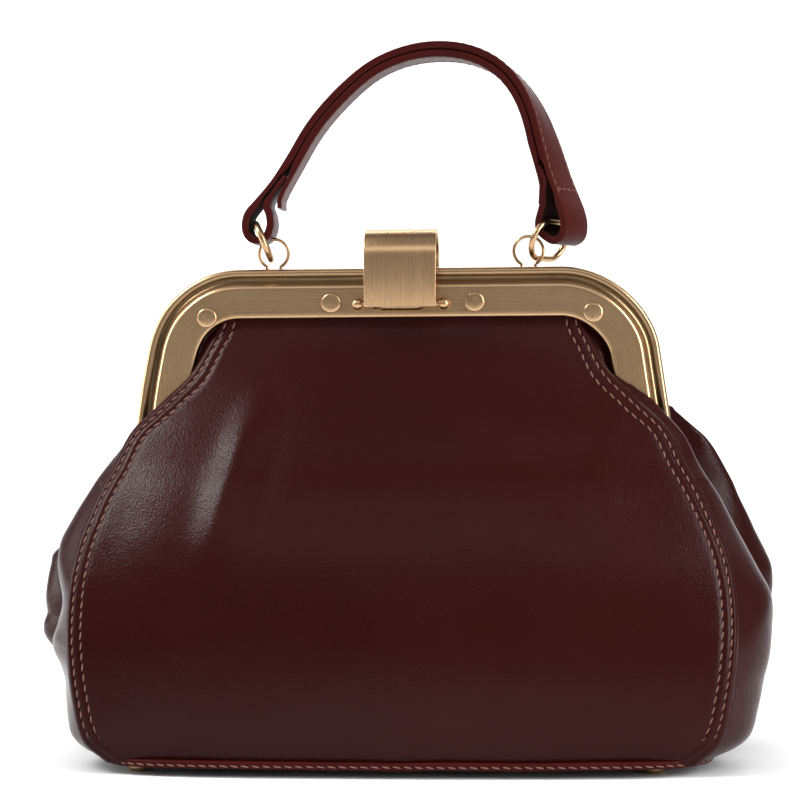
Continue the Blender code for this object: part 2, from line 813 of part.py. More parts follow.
def claspSpring():
    """A leaf against the inside of the bend, with a lip that snaps behind the rear bead."""
    centreY = claspBendRadius - claspFace
    centreZ = claspTop - claspBendRadius
    outer = claspBendRadius - sheetThickness - gap
    inner = outer - springThickness
    beadBack = beadDepth + beadRadius + 2 * gap
    beadMiddle = frameTop - beadRadius
    outside = arcPoints((centreY, centreZ), outer, math.radians(75), 0, 6)
    inside = arcPoints((centreY, centreZ), inner, 0, math.radians(75), 6)
    lip = [
        (centreY + outer, beadMiddle + springLip / 2),
        (beadBack + springThickness, beadMiddle - springLip / 2),
        (beadBack + springThickness * 1.4, beadMiddle - springLip),
        (beadBack + springThickness * 0.4, beadMiddle - springLip),
        (beadBack, beadMiddle - springLip / 2),
        (centreY + inner, beadMiddle + springLip / 2),
    ]
    outline = outside + lip + inside
    addPart("clasp_spring", plateMesh("clasp_spring", [outline], 2 * springHalfWidth, sideways), brass, claspBody)


def claspBracket():
    """A plate against the frame's face with two ears that hold the pin."""
    back = -plateFace - gap
    face = back - bracketThickness
    middle = (back + face) / 2
    earInner = knuckleHalfWidth + 2 * gap
    halfWidth = earInner + earThickness + gap
    plate = boxMesh("clasp_bracket", (-halfWidth, face, bracketLow), (halfWidth, back, bracketHigh))
    part = addPart("clasp_bracket", plate, brass, frontBody)
    eye = arcPoints((-claspPinDepth, claspPinHeight), earRadius, math.radians(110), math.radians(320), 10)
    outline = eye + [(middle, bracketLow + gap), (middle, bracketHigh - gap)]
    hole = arcPoints((-claspPinDepth, claspPinHeight), claspPinRadius + gap, 0, 2 * math.pi, 12)[:-1]
    for across in (-1, 1):
        place = Matrix.Translation((across * (earInner + earThickness / 2), 0, 0))
        combine(part, plateMesh("ear", [outline, hole], earThickness, place @ sideways), "UNION")


def claspPin():
    """The rod that the flap turns on, with a ball at each end."""
    neck = math.sqrt(ballRadius**2 - claspPinRadius**2)
    neckAngle = math.asin(claspPinRadius / ballRadius) - math.pi / 2
    ball = arcPoints((0, ballPlace), ballRadius, math.pi / 2, neckAngle, 8)
    upper = [(max(radius, 0), height) for radius, height in ball[:-1]] + [(claspPinRadius, ballPlace - neck)]
    lower = [(radius, -height) for radius, height in reversed(upper)]
    turn = Matrix.Translation((0, -claspPinDepth, claspPinHeight)) @ Matrix.Rotation(math.radians(90), 4, "Y")
    addPart("clasp_pin", turnedMesh("clasp_pin", upper + lower, 12, turn), brass, frontBody)


def handleLoops():
    """Wire eyes whose feet stand in holes in the rear bead."""
    drop = math.acos(loopFootSpread / loopRadius)
    arc = arcPoints((0, loopHeight), loopRadius, -drop, math.pi + drop, 18)
    foot = frameTop - loopFootDepth
    for across, word in ((-1, "left"), (1, "right")):
        name = f"handle_loop_{word}"
        middle = across * loopPlace
        line = [(loopFootSpread, foot)] + arc + [(-loopFootSpread, foot)]
        points = [(middle + x, loopDepth, z) for x, z in line]
        addPart(name, wireMesh(name, points, loopWire), brass, rearBody)


def ringHookPoint(across):
    """Where the lower bar of a ring crosses its loop."""
    return Vector((-ringPlaceLeft if across < 0 else ringPlaceRight, loopDepth, ringHook))


def ringPlane(across):
    """From a ring's own upright plane, with its origin in the middle of the lower bar, to its place."""
    turn = ringTurnLeft if across < 0 else ringTurnRight
    slide = ringSlideLeft if across < 0 else ringSlideRight
    past = max(slide - (ringHalfWidth - ringHalfHeight), 0)
    drop = ringHalfHeight - math.sqrt(ringHalfHeight**2 - past**2)
    turned = Matrix.Rotation(-turn, 4, "Z") @ Matrix.Rotation(across * ringTilt, 4, "Y")
    return Matrix.Translation(ringHookPoint(across)) @ turned @ Matrix.Translation((0, slide, -drop))


def ringCentre(across):
    return ringPlane(across) @ Vector((0, 0, ringHalfHeight))


def rings():
    """Oval rings that stand in the loops, leaning outwards. The right one is turned and hangs by its front."""
    straight = ringHalfWidth - ringHalfHeight
    oval = arcPoints((straight, 0), ringHalfHeight, -math.pi / 2, math.pi / 2, 10)
    oval += arcPoints((-straight, 0), ringHalfHeight, math.pi / 2, 3 * math.pi / 2, 10)
    for across, word, body in ((-1, "left", leftRing), (1, "right", rightRing)):
        name = f"ring_{word}"
        plane = ringPlane(across)
        points = [plane @ Vector((0, y, z + ringHalfHeight)) for y, z in oval]
        addPart(name, wireMesh(name, [tuple(p) for p in points], ringWire, True), brass, body)


def handleLine():
    rise = handleTop - handleFoot
    points = [(x * handleHalfSpan, handleFoot + z * rise) for x, z in handleShares]
    return smoothPath(points, 3)


def offsetLine(points, distance):
    """The line moved to its left by this distance."""
    moved = []
    for i, (x, z) in enumerate(points):
        before, after = points[max(i - 1, 0)], points[min(i + 1, len(points) - 1)]
        along = Vector((after[0] - before[0], after[1] - before[1])).normalized()
        moved.append((x - along.y * distance, z + along.x * distance))
    return moved


def strapProfile(width):
    half, side = strapThickness / 2, width / 2
    corners = ((-half, -side), (half, -side), (half, side), (-half, side))
    profile = []
    for x, y in corners:
        towardsX, towardsY = math.copysign(strapEdge, x), math.copysign(strapEdge, y)
        pair = [(x, y - towardsY), (x - towardsX, y)]
        profile += pair if x * y > 0 else pair[::-1]
    return profile


def turnEnds(mesh):
    """Shifts the handle's legs to their rings and turns the right one, more and more towards its foot."""
    middle = Vector((handleHalfSpan, 0, 0))
    for vertex in mesh.vertices:
        share = smoothStep((handleTurnTop - vertex.co.z) / (handleTurnTop - handleTurnFoot))
        if vertex.co.x < 0:
            vertex.co.x += handleShiftLeft * share
            continue
        turned = middle + Matrix.Rotation(-ringTurnRight * share, 3, "Z") @ (vertex.co - middle)
        vertex.co = turned + Vector((handleShiftRight, handleShiftBack, 0)) * share


def handleStrap(name, line, width=strapWidth):
    mesh = sweptMesh(name, line, strapProfile(width), standing)
    turnEnds(mesh)
    mesh.transform(Matrix.Translation((0, loopDepth, 0)))
    addPart(name, mesh, leather, handleBody)


def strapEnd(across, shares):
    foot = across * handleHalfSpan
    return [(foot - across * x * eyeHalfWidth, handleFoot - z * eyeDrop) for x, z in shares]


def smoothEnds(start, middle, end):
    """One line through both ends and a middle that is smooth already."""
    first = smoothPath(start + middle[:2], 3)[:-3]
    last = smoothPath(middle[-2:] + end, 3)[3:]
    return first + middle[1:-1] + last


def handle():
    """Three layers of leather; the outer one folds round each ring and its ends lie in the middle layer."""
    line = handleLine()
    step = strapThickness + gap
    outer = offsetLine(line, step)[2:-3]
    left, right = strapEnd(-1, eyeLeftShares), strapEnd(1, eyeRightShares)
    path = smoothEnds([line[0]] + left[::-1], outer, right + [line[-1]])
    handleStrap("handle_outer_strap", path)
    handleStrap("handle_core", line[-2:0:-1], strapWidth - strapEdge * 2)
    inner = offsetLine(line, -step)[2:-2]
    path = smoothEnds(strapEnd(-1, innerLeftShares), inner, strapEnd(1, innerRightShares))
    handleStrap("handle_inner_strap", path)


def base():
    height = weltUnder + weltHeight
    corner = panelRow(height, front) + gussetRow(height, 1)[::2]
    outline = [(x, y) for x, y, z in corner] + [(-x, -y) for x, y, z in corner]
    baseShape = offsetRing(outline, -gap)
    middle = Matrix.Translation((0, 0, baseUnder + baseThickness / 2))
    panel = addPart("base_panel", plateMesh("base_panel", [baseShape], baseThickness, middle), leather, root)
    body = bodyAt(height)
    boardHalfWidth = min(body["seam"], body["fold"]) - boardSideGap
    boardHalfDepth = body["seamDepth"] - boardFrontGap
    boardShape = roundedRectangle(boardHalfWidth, boardHalfDepth, boardCorner)
    middle = Matrix.Translation((0, 0, baseTop + gap + boardThickness / 2))
    board = addPart("base_board", plateMesh("base_board", [boardShape], boardThickness, middle), fibre, root)
    footLow = -footHeight
    profile = [
        (0, boardThickness + baseThickness + 3 * gap),
        (footShank, boardThickness + baseThickness + 3 * gap),
        (footShank, 0),
        (footRadius, 0),
        (footRadius, footLow * 0.45),
        (footRadius * 0.82, footLow * 0.85),
        (footRadius * 0.45, footLow),
        (0, footLow),
    ]
    places = ((-1, -1, "front_left"), (1, -1, "front_right"), (-1, 1, "rear_left"), (1, 1, "rear_right"))
    for across, along, word in places:
        x, y = across * (boardHalfWidth - footInsetX), along * (boardHalfDepth - footInsetY)
        for part in (panel, board):
            low, high = (x, y, 0), (x, y, baseTop + boardThickness + overrun)
            combine(part, rodMesh("shank_hole", low, high, footShank + gap, 10), "DIFFERENCE")
        name = f"foot_{word}"
        turn = Matrix.Translation((x, y, footHeight))
        addPart(name, turnedMesh(name, profile, 14, turn), brass, root)
    path = offsetRing(outline, gap + weltThickness / 2)
    halfT, halfH = weltThickness / 2, weltHeight / 2
    lip = halfH * 0.8
    section = [(-halfT, -halfH), (halfT, -halfH), (halfT, lip)]
    section += [(halfT / 2, halfH), (-halfT / 2, halfH), (-halfT, lip)]
    middle = Matrix.Translation((0, 0, weltUnder + halfH))
    addPart("base_welt", sweptMesh("base_welt", path, section, middle, True), leather, root)


clearScene()
parts = makeCollection("gladstone_bag", False)
guides = makeCollection("cutters", True)
brass = (brassColor, 0.32, 1.0)
leather = (leatherColor, 0.38, 0.0)
cloth = (liningColor, 0.9, 0.0)
fibre = (boardColor, 0.8, 0.0)
baseTop = baseUnder + baseThickness

root = makeBody("bag_body", (0, 0, 0))
frontBody = makeBody("front_frame_hinge", (0, 0, hingeHeight))
rearBody = makeBody("rear_frame_hinge", (0, 0, hingeHeight))
claspBody = makeBody("clasp_hinge", (0, -claspPinDepth, claspPinHeight))
leftRing = makeBody("ring_left_hinge", ringHookPoint(-1))
rightRing = makeBody("ring_right_hinge", ringHookPoint(1))
handleBody = makeBody("handle_hinge", ringCentre(-1))

for side, body in ((front, frontBody), (rear, rearBody)):
    frame(side, body)
    clampStrip(side, body)
    rivets(side, body)
    panelUpper(side, body)
    panelLower(side)
for side in (-1, 1):
    gusset(side)
hingePins()
claspFlap()
claspSpring()
claspBracket()
claspPin()
handleLoops()
rings()
handle()
base()
lining()
for part in parts.objects:
    if part.type == "MESH":
        part.data.shade_smooth()
        part.data.set_sharp_from_angle(angle=math.radians(35))
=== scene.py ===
# Dresses the framed gladstone bag: leather, stitching, brass frames, clasp, handle, floor, light and camera.
import math

import bmesh
import bpy
from mathutils import Matrix, Vector, noise


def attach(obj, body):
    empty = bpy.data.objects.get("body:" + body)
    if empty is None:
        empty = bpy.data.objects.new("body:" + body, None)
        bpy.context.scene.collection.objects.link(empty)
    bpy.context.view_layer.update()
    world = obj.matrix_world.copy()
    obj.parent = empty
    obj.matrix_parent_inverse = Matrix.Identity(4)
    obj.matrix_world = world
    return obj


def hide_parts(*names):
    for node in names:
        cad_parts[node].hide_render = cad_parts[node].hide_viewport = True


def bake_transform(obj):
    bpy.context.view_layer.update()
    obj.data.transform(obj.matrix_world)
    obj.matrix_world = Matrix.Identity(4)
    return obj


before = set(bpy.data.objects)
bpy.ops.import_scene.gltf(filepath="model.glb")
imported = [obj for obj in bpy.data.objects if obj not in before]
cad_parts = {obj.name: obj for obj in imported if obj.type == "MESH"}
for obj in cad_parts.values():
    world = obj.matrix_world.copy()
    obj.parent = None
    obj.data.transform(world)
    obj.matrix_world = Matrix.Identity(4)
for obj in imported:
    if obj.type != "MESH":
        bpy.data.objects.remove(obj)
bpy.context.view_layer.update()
mm = 0.001
print("stage: frame loaded")


def smoothStep(share):
    share = min(max(share, 0), 1)
    return share * share * (3 - 2 * share)


# From 0 at a start to 1 a span further on; a negative span runs downwards
def riseFrom(start, span, at):
    return smoothStep((at - start) / span)


def between(a, b, share):
    return a + (b - a) * share


def bell(distance, width):
    return math.exp(-((distance / width) ** 2))


# A smooth value between the rows of a table whose first column rises
def smoothAt(table, at, column):
    last = len(table) - 1
    at = min(max(at, table[0][0]), table[last][0])
    row = 0
    while row < last - 1 and table[row + 1][0] < at:
        row += 1
    span = table[row + 1][0] - table[row][0]
    share = (at - table[row][0]) / span
    slopes = []
    for place in (row, row + 1):
        low, high = max(place - 1, 0), min(place + 1, last)
        rise = table[high][column] - table[low][column]
        slopes.append(rise / (table[high][0] - table[low][0]) * span)
    square, cube = share**2, share**3
    return (
        table[row][column] * (2 * cube - 3 * square + 1)
        + slopes[0] * (cube - 2 * square + share)
        + table[row + 1][column] * (3 * square - 2 * cube)
        + slopes[1] * (cube - square)
    )


# A smooth line through points, with this many pieces between each two
def smoothPath(points, steps):
    table = [(i, *point) for i, point in enumerate(points)]
    places = [i / steps for i in range((len(points) - 1) * steps + 1)]
    return [tuple(smoothAt(table, at, c + 1) for c in range(len(points[0]))) for at in places]


def arcPoints(centre, radius, first, last, steps):
    angles = [first + (last - first) * i / steps for i in range(steps + 1)]
    return [(centre[0] + radius * math.cos(a), centre[1] + radius * math.sin(a)) for a in angles]


# The same line through this many points at even distances
def evenPath(points, count):
    vectors = [Vector(p) for p in points]
    lengths = [0]
    for a, b in zip(vectors, vectors[1:]):
        lengths.append(lengths[-1] + (b - a).length)
    made, place = [], 0
    for i in range(count):
        at = lengths[-1] * i / (count - 1)
        while place < len(vectors) - 2 and lengths[place + 1] < at:
            place += 1
        span = lengths[place + 1] - lengths[place]
        made.append(vectors[place].lerp(vectors[place + 1], (at - lengths[place]) / span if span else 0))
    return made


def pathLength(points):
    return sum((Vector(b) - Vector(a)).length for a, b in zip(points, points[1:]))


# Makes an object of a bmesh, with its materials and its body
def addPiece(name, shape, materials, body, smoothAngle=40):
    bmesh.ops.recalc_face_normals(shape, faces=shape.faces)
    if shape.calc_volume(signed=True) < 0:
        bmesh.ops.reverse_faces(shape, faces=shape.faces)
    mesh = bpy.data.meshes.new(name)
    shape.to_mesh(mesh)
    shape.free()
    for material in materials:
        mesh.materials.append(material)
    mesh.shade_smooth()
    mesh.set_sharp_from_angle(angle=math.radians(smoothAngle))
    piece = bpy.data.objects.new(name, mesh)
    bpy.context.scene.collection.objects.link(piece)
    if body:
        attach(piece, body)
    return piece


# The way out of a grid of points at each of them, for rows from low to high and columns that run
# anticlockwise seen from above
def pieceNormals(rows):
    last, wide = len(rows) - 1, len(rows[0])
    normals = []
    for i, row in enumerate(rows):
        line = []
        for j in range(wide):
            along = Vector(row[min(j + 1, wide - 1)]) - Vector(row[max(j - 1, 0)])
            up = Vector(rows[min(i + 1, last)][j]) - Vector(rows[max(i - 1, 0)][j])
            line.append(along.cross(up).normalized())
        normals.append(line)
    return normals


def moveInwards(rows, distance):
    normals = pieceNormals(rows)
    return [[Vector(p) - n * distance for p, n in zip(row, line)] for row, line in zip(rows, normals)]


# Adds a sheet with these rows of points and returns its vertices, row by row
def addGrid(shape, rows):
    across, up = len(rows[0]) - 1, len(rows) - 1
    made = bmesh.ops.create_grid(shape, x_segments=across, y_segments=up, size=1)["verts"]
    for vertex, point in zip(made, (point for row in rows for point in row)):
        vertex.co = point
    return made


# A closed sheet with these outer points
def shellShape(rows, thickness):
    shape = bmesh.new()
    addGrid(shape, rows)
    bmesh.ops.solidify(shape, geom=shape.faces[:], thickness=thickness)
    return shape


# Carries a closed profile, or one for each station, through stations of point, side and up. Sets a UV map
# of length along and around; columns in inked get the second material
def sweepShape(shape, stations, profiles, closed, marks=None, inked=()):
    layer = shape.loops.layers.uv.get("UVMap") or shape.loops.layers.uv.new("UVMap")
    mark = None
    if marks:
        mark = shape.verts.layers.float.get(marks[0]) or shape.verts.layers.float.new(marks[0])
    if not isinstance(profiles[0], list):
        profiles = [profiles] * len(stations)
    rows = []
    for (point, side, up), profile in zip(stations, profiles):
        rows.append([point + side * a + up * b for a, b in profile + profile[:1]])
    if closed:
        rows.append(rows[0])
    along, around = [0], [0]
    for a, b in zip(stations, stations[1:] + stations[:1]):
        along.append(along[-1] + (b[0] - a[0]).length)
    for a, b in zip(rows[0], rows[0][1:]):
        around.append(around[-1] + (b - a).length)
    made = addGrid(shape, rows)
    wide = len(rows[0])
    number = {vertex: index for index, vertex in enumerate(made)}
    for vertex, index in number.items():
        if mark:
            vertex[mark] = marks[1][index % wide % (wide - 1)]
        for loop in vertex.link_loops:
            loop[layer].uv = (along[index // wide], around[index % wide])
    for face in {face for vertex in made for face in vertex.link_faces}:
        if inked and all(number[vertex] % wide % (wide - 1) in inked for vertex in face.verts):
            face.material_index = 1
    bmesh.ops.remove_doubles(shape, verts=made, dist=1e-7)
    bmesh.ops.holes_fill(shape, edges=[edge for edge in shape.edges if edge.is_boundary], sides=0)


# Stations along a flat line: the side is to the right of the way travelled, and corners are mitred
def flatStations(path, upright, closed=False):
    points = [Vector(p) for p in path]
    up = Vector(upright)
    stations = []
    for i, point in enumerate(points):
        before = points[i - 1] if i or closed else None
        after = points[(i + 1) % len(points)] if i < len(points) - 1 or closed else None
        first = (point - before).normalized() if before is not None else None
        second = (after - point).normalized() if after is not None else None
        first, second = first or second, second or first
        middle = (first + second).normalized()
        side = middle.cross(up).normalized()
        lean = max(side.dot(first.cross(up).normalized()), 0.5)
        stations.append((point, side / lean, up))
    return stations


# Stations along a line in space, without twist
def tubeStations(points, closed=False):
    points = [Vector(p) for p in points]
    stations, side = [], None
    for i, point in enumerate(points):
        before = points[i - 1] if i or closed else point
        after = points[(i + 1) % len(points)] if i < len(points) - 1 or closed else point
        along = (after - before).normalized()
        if side is None:
            side = along.orthogonal().normalized()
        side = (side - along * side.dot(along)).normalized()
        stations.append((point, side, along.cross(side)))
    return stations


def roundProfile(radius, steps):
    return arcPoints((0, 0), radius, 0, 2 * math.pi, steps)[:-1]


def tubeShape(points, radius, steps=20, closed=False):
    shape = bmesh.new()
    sweepShape(shape, tubeStations(points, closed), roundProfile(radius, steps), closed)
    return shape


# A profile of radius and height turned about its axis, then set in place
def turnedShape(profile, turn, steps=48):
    made = bmesh.new()
    points = [made.verts.new((radius, 0, height)) for radius, height in profile]
    edges = [made.edges.new(pair) for pair in zip(points, points[1:])]
    bmesh.ops.spin(
        made,
        geom=points + edges,
        cent=(0, 0, 0),
        axis=(0, 0, 1),
        angle=2 * math.pi,
        steps=steps,
        use_merge=True,
    )
    bmesh.ops.remove_doubles(made, verts=made.verts, dist=1e-7)
    made.transform(turn)
    return made


# A closed outline with each corner rounded by its own share of a radius
def roundedProfile(corners, radius, steps=3):
    rounded = []
    count = len(corners)
    for i, (x, y, share) in enumerate(corners):
        here = Vector((x, y))
        before = Vector(corners[i - 1][:2])
        after = Vector(corners[(i + 1) % count][:2])
        cut = radius * share
        if not cut:
            rounded.append((x, y))
            continue
        cut = min(cut, (before - here).length * 0.45, (after - here).length * 0.45)
        start, end = here + (before - here).normalized() * cut, here + (after - here).normalized() * cut
        for step in range(steps + 1):
            t = step / steps
            point = start * (1 - t) ** 2 + here * 2 * t * (1 - t) + end * t**2
            rounded.append((point.x, point.y))
    return rounded


# A flat outline made thick from low to high; placeOf turns two flat numbers and a height into a point
def prism(shape, outline, placeOf, low, high):
    face = shape.faces.new([shape.verts.new(placeOf(a, b, low)) for a, b in outline])
    made = bmesh.ops.extrude_face_region(shape, geom=[face])["geom"]
    move = placeOf(*outline[0], high) - placeOf(*outline[0], low)
    made = [part for part in made if isinstance(part, bmesh.types.BMVert)]
    bmesh.ops.translate(shape, verts=made, vec=move)


def bevelSharp(shape, width, segments=3, angle=50):
    sharp = [e for e in shape.edges if len(e.link_faces) == 2 and e.calc_face_angle(0) > math.radians(angle)]
    bmesh.ops.bevel(
        shape,
        geom=sharp,
        offset=width,
        segments=segments,
        profile=0.5,
        affect="EDGES",
        material=-1,
        clamp_overlap=True,
    )


def newMaterial(name):
    material = bpy.data.materials.new(name)
    material.use_nodes = True
    return material, material.node_tree, material.node_tree.nodes["Principled BSDF"]


def addNode(tree, kind, **values):
    node = tree.nodes.new(kind)
    for key, value in values.items():
        if key in node.inputs:
            node.inputs[key].default_value = value
        else:
            setattr(node, key, value)
    return node


def mapped(tree, source, scale):
    mapping = addNode(tree, "ShaderNodeMapping")
    mapping.inputs["Scale"].default_value = scale
    tree.links.new(source, mapping.inputs["Vector"])
    return mapping.outputs["Vector"]


def ramp(tree, source, stops):
    node = addNode(tree, "ShaderNodeValToRGB")
    while len(node.color_ramp.elements) < len(stops):
        node.color_ramp.elements.new(0.5)
    for element, (place, color) in zip(node.color_ramp.elements, stops):
        element.position = place
        element.color = (*color, 1) if len(color) == 3 else color
    tree.links.new(source, node.inputs["Fac"])
    return node.outputs["Color"]


def noiseOf(tree, vector, scale, detail=2, roughness=0.5):
    node = addNode(tree, "ShaderNodeTexNoise", Scale=scale, Detail=detail, Roughness=roughness)
    tree.links.new(vector, node.inputs["Vector"])
    return node.outputs["Fac"]


def addBump(tree, height, strength, distance, before=None):
    bump = addNode(tree, "ShaderNodeBump", Strength=strength, Distance=distance)
    tree.links.new(height, bump.inputs["Height"])
    if before:
        tree.links.new(before, bump.inputs["Normal"])
    return bump.outputs["Normal"]


def mathOf(tree, operation, a, b):
    node = addNode(tree, "ShaderNodeMath", operation=operation)
    for slot, value in zip(node.inputs, (a, b)):
        if isinstance(value, (int, float)):
            slot.default_value = value
        else:
            tree.links.new(value, slot)
    return node.outputs["Value"]


leatherLook = {
    "dark": (0.0195, 0.0024, 0.0020),
    "middle": (0.0220, 0.0028, 0.0023),
    "light": (0.0255, 0.0034, 0.0028),
    "cloudScale": 11,
    "roughness": 0.16,  # where it shines most
    "roughSpread": 0.14,
    "roughScale": 30,
    "specular": 0.10,
    "grain": 0.80,
    "grainSize": 0.55 * mm,
    "grainDepth": 0.12 * mm,
    "poreShare": 0.7,
    "fineScale": 0.7,  # of the finer noise, in pores
    "softScale": 75,
    "softBump": 0.35,
    "softDepth": 0.5 * mm,
}


def toned(stops, tone):
    return [(at, tuple(c * tone for c in color)) for at, color in stops]


def leatherMaterial(name, grain=1.0, tone=1.0, shine=1.0, rough=0.0):
    look = leatherLook
    material, tree, shader = newMaterial(name)
    place = addNode(tree, "ShaderNodeTexCoord").outputs["Object"]
    clouds = noiseOf(tree, place, look["cloudScale"], 4, 0.55)
    stops = [(0.32, look["dark"]), (0.52, look["middle"]), (0.72, look["light"])]
    tree.links.new(ramp(tree, clouds, toned(stops, tone)), shader.inputs["Base Color"])
    pores = addNode(tree, "ShaderNodeTexVoronoi", Scale=1 / look["grainSize"], Randomness=1.0)
    pores.feature = "SMOOTH_F1"
    tree.links.new(place, pores.inputs["Vector"])
    fine = noiseOf(tree, place, look["fineScale"] / look["grainSize"], 3, 0.6)
    height = mathOf(tree, "ADD", mathOf(tree, "MULTIPLY", pores.outputs["Distance"], look["poreShare"]), fine)
    normal = addBump(tree, height, look["grain"] * grain, look["grainDepth"])
    soft = noiseOf(tree, place, look["softScale"], 3, 0.5)
    normal = addBump(tree, soft, look["softBump"], look["softDepth"], normal)
    tree.links.new(normal, shader.inputs["Normal"])
    matt = mathOf(tree, "MULTIPLY_ADD", noiseOf(tree, place, look["roughScale"], 3, 0.5), look["roughSpread"])
    matt.node.inputs[2].default_value = look["roughness"] + rough
    tree.links.new(matt, shader.inputs["Roughness"])
    shader.inputs["Specular IOR Level"].default_value = look["specular"] * shine
    return material


brassLook = {
    "dark": (0.10, 0.068, 0.034),
    "middle": (0.47, 0.292, 0.150),
    "light": (0.60, 0.39, 0.22),
    "broadScale": 42,
    "lineShare": 0.45,
    "roughness": 0.20,  # where it shines most
    "roughSpread": 0.16,
    "streak": 0.09,
    "streakDepth": 0.05 * mm,
}


# Old brass. Streaks are scales of a stretched noise: two on the UV map, three on Object coordinates
def brassMaterial(name, streaks, tone=1.0, roughness=0.0, bump=1.0):
    look = brassLook
    material, tree, shader = newMaterial(name)
    coordinates = addNode(tree, "ShaderNodeTexCoord")
    place = coordinates.outputs["Object"]
    source = coordinates.outputs["UV"] if len(streaks) == 2 else place
    stretched = mapped(tree, source, (*streaks, 1) if len(streaks) == 2 else streaks)
    lines = noiseOf(tree, stretched, 1, 4, 0.65)
    broad = noiseOf(tree, place, look["broadScale"], 3, 0.5)
    share = look["lineShare"]
    fine, soft = mathOf(tree, "MULTIPLY", lines, share), mathOf(tree, "MULTIPLY", broad, 1 - share)
    value = mathOf(tree, "ADD", fine, soft)
    color = ramp(tree, value, toned([(0.30, look["middle"]), (0.66, look["light"])], tone))
    patina = addNode(tree, "ShaderNodeAttribute", attribute_name="patina")
    mix = addNode(tree, "ShaderNodeMix", data_type="RGBA")
    amount = mathOf(tree, "MULTIPLY", patina.outputs["Fac"], mathOf(tree, "ADD", 0.55, broad))
    tree.links.new(amount, mix.inputs["Factor"])
    tree.links.new(color, mix.inputs["A"])
    mix.inputs["B"].default_value = (*look["dark"], 1)
    tree.links.new(mix.outputs["Result"], shader.inputs["Base Color"])
    shader.inputs["Metallic"].default_value = 1
    rough = mathOf(tree, "MULTIPLY_ADD", lines, look["roughSpread"])
    rough.node.inputs[2].default_value = look["roughness"] + roughness
    tree.links.new(rough, shader.inputs["Roughness"])
    streaked = addBump(tree, lines, look["streak"] * bump, look["streakDepth"])
    tree.links.new(streaked, shader.inputs["Normal"])
    return material


# A plain weave
def clothMaterial(name, color, scale):
    material, tree, shader = newMaterial(name)
    place = addNode(tree, "ShaderNodeTexCoord").outputs["Object"]
    waves = []
    for axis in ("X", "Z"):
        wave = addNode(tree, "ShaderNodeTexWave", Scale=scale, Distortion=0.4)
        wave.bands_direction = axis
        tree.links.new(place, wave.inputs["Vector"])
        waves.append(wave.outputs["Fac"])
    weave = mathOf(tree, "MULTIPLY", *waves)
    light = tuple(min(c * 1.5, 1) for c in color)
    tree.links.new(ramp(tree, weave, [(0.1, color), (0.8, light)]), shader.inputs["Base Color"])
    tree.links.new(addBump(tree, weave, 0.4, 0.15 * mm), shader.inputs["Normal"])
    shader.inputs["Roughness"].default_value = 0.9
    shader.inputs["Sheen Weight"].default_value = 0.25
    return material


def plainMaterial(name, color, roughness, scale, bump, specular=0.5):
    material, tree, shader = newMaterial(name)
    place = addNode(tree, "ShaderNodeTexCoord").outputs["Object"]
    clouds = noiseOf(tree, place, scale, 4, 0.6)
    dark = tuple(c * 0.75 for c in color)
    tree.links.new(ramp(tree, clouds, [(0.3, dark), (0.7, color)]), shader.inputs["Base Color"])
    tree.links.new(addBump(tree, clouds, bump, 0.1 * mm), shader.inputs["Normal"])
    shader.inputs["Roughness"].default_value = roughness
    shader.inputs["Specular IOR Level"].default_value = specular
    return material


leather = leatherMaterial("leather")
strapLeather = leatherMaterial("strap_leather", grain=0.7, tone=1.9, shine=0.5, rough=0.17)
railBrass = brassMaterial("rail_brass", (30, 5200))
flapBrass = brassMaterial("flap_brass", (3600, 120, 38), tone=1.04, bump=0.35)
plainBrass = brassMaterial("plain_brass", (500, 500, 500))
wireBrass = brassMaterial("wire_brass", (260, 260, 260), tone=0.95, roughness=-0.03)
thread = plainMaterial("thread", (0.21, 0.108, 0.085), 0.75, 1400, 0.8, 0.2)
flesh = plainMaterial("flesh_side", (0.030, 0.010, 0.008), 0.95, 900, 0.6, 0.05)
# Near-black discs at the needle holes: painted shade inside the punched holes
holeShade = plainMaterial("needle_hole_shade", (0.008, 0.003, 0.003), 0.9, 300, 0.1, 0.1)
lining = clothMaterial("lining_cloth", (0.055, 0.035, 0.024), 420)
boardFibre = plainMaterial("board_fibre", (0.30, 0.22, 0.14), 0.85, 350, 0.5, 0.2)
print("stage: materials")


# Heights, seam half widths, depths in the middle and at the seam, all in mm
bodyTable = (
    (5.1, 98.8, 56.0, 50.0),
    (12.0, 106.5, 57.0, 51.0),
    (26.0, 110.5, 58.0, 50.0),
    (41.0, 112.6, 57.3, 47.8),
    (52.0, 113.1, 55.5, 45.0),
    (65.0, 112.4, 52.0, 41.0),
    (77.0, 110.0, 47.5, 36.0),
    (90.0, 105.2, 41.0, 30.0),
    (97.0, 102.0, 37.0, 26.5),
    (103.0, 98.8, 33.0, 23.5),
    (115.0, 92.9, 26.0, 18.0),
    (124.0, 83.9, 20.5, 14.5),
    (134.5, 73.4, 14.0, 10.8),
    (145.5, 67.3, 7.6, 7.0),
    (152.0, 64.2, 5.0, 5.0),
    (163.0, 63.0, 5.0, 5.0),
)
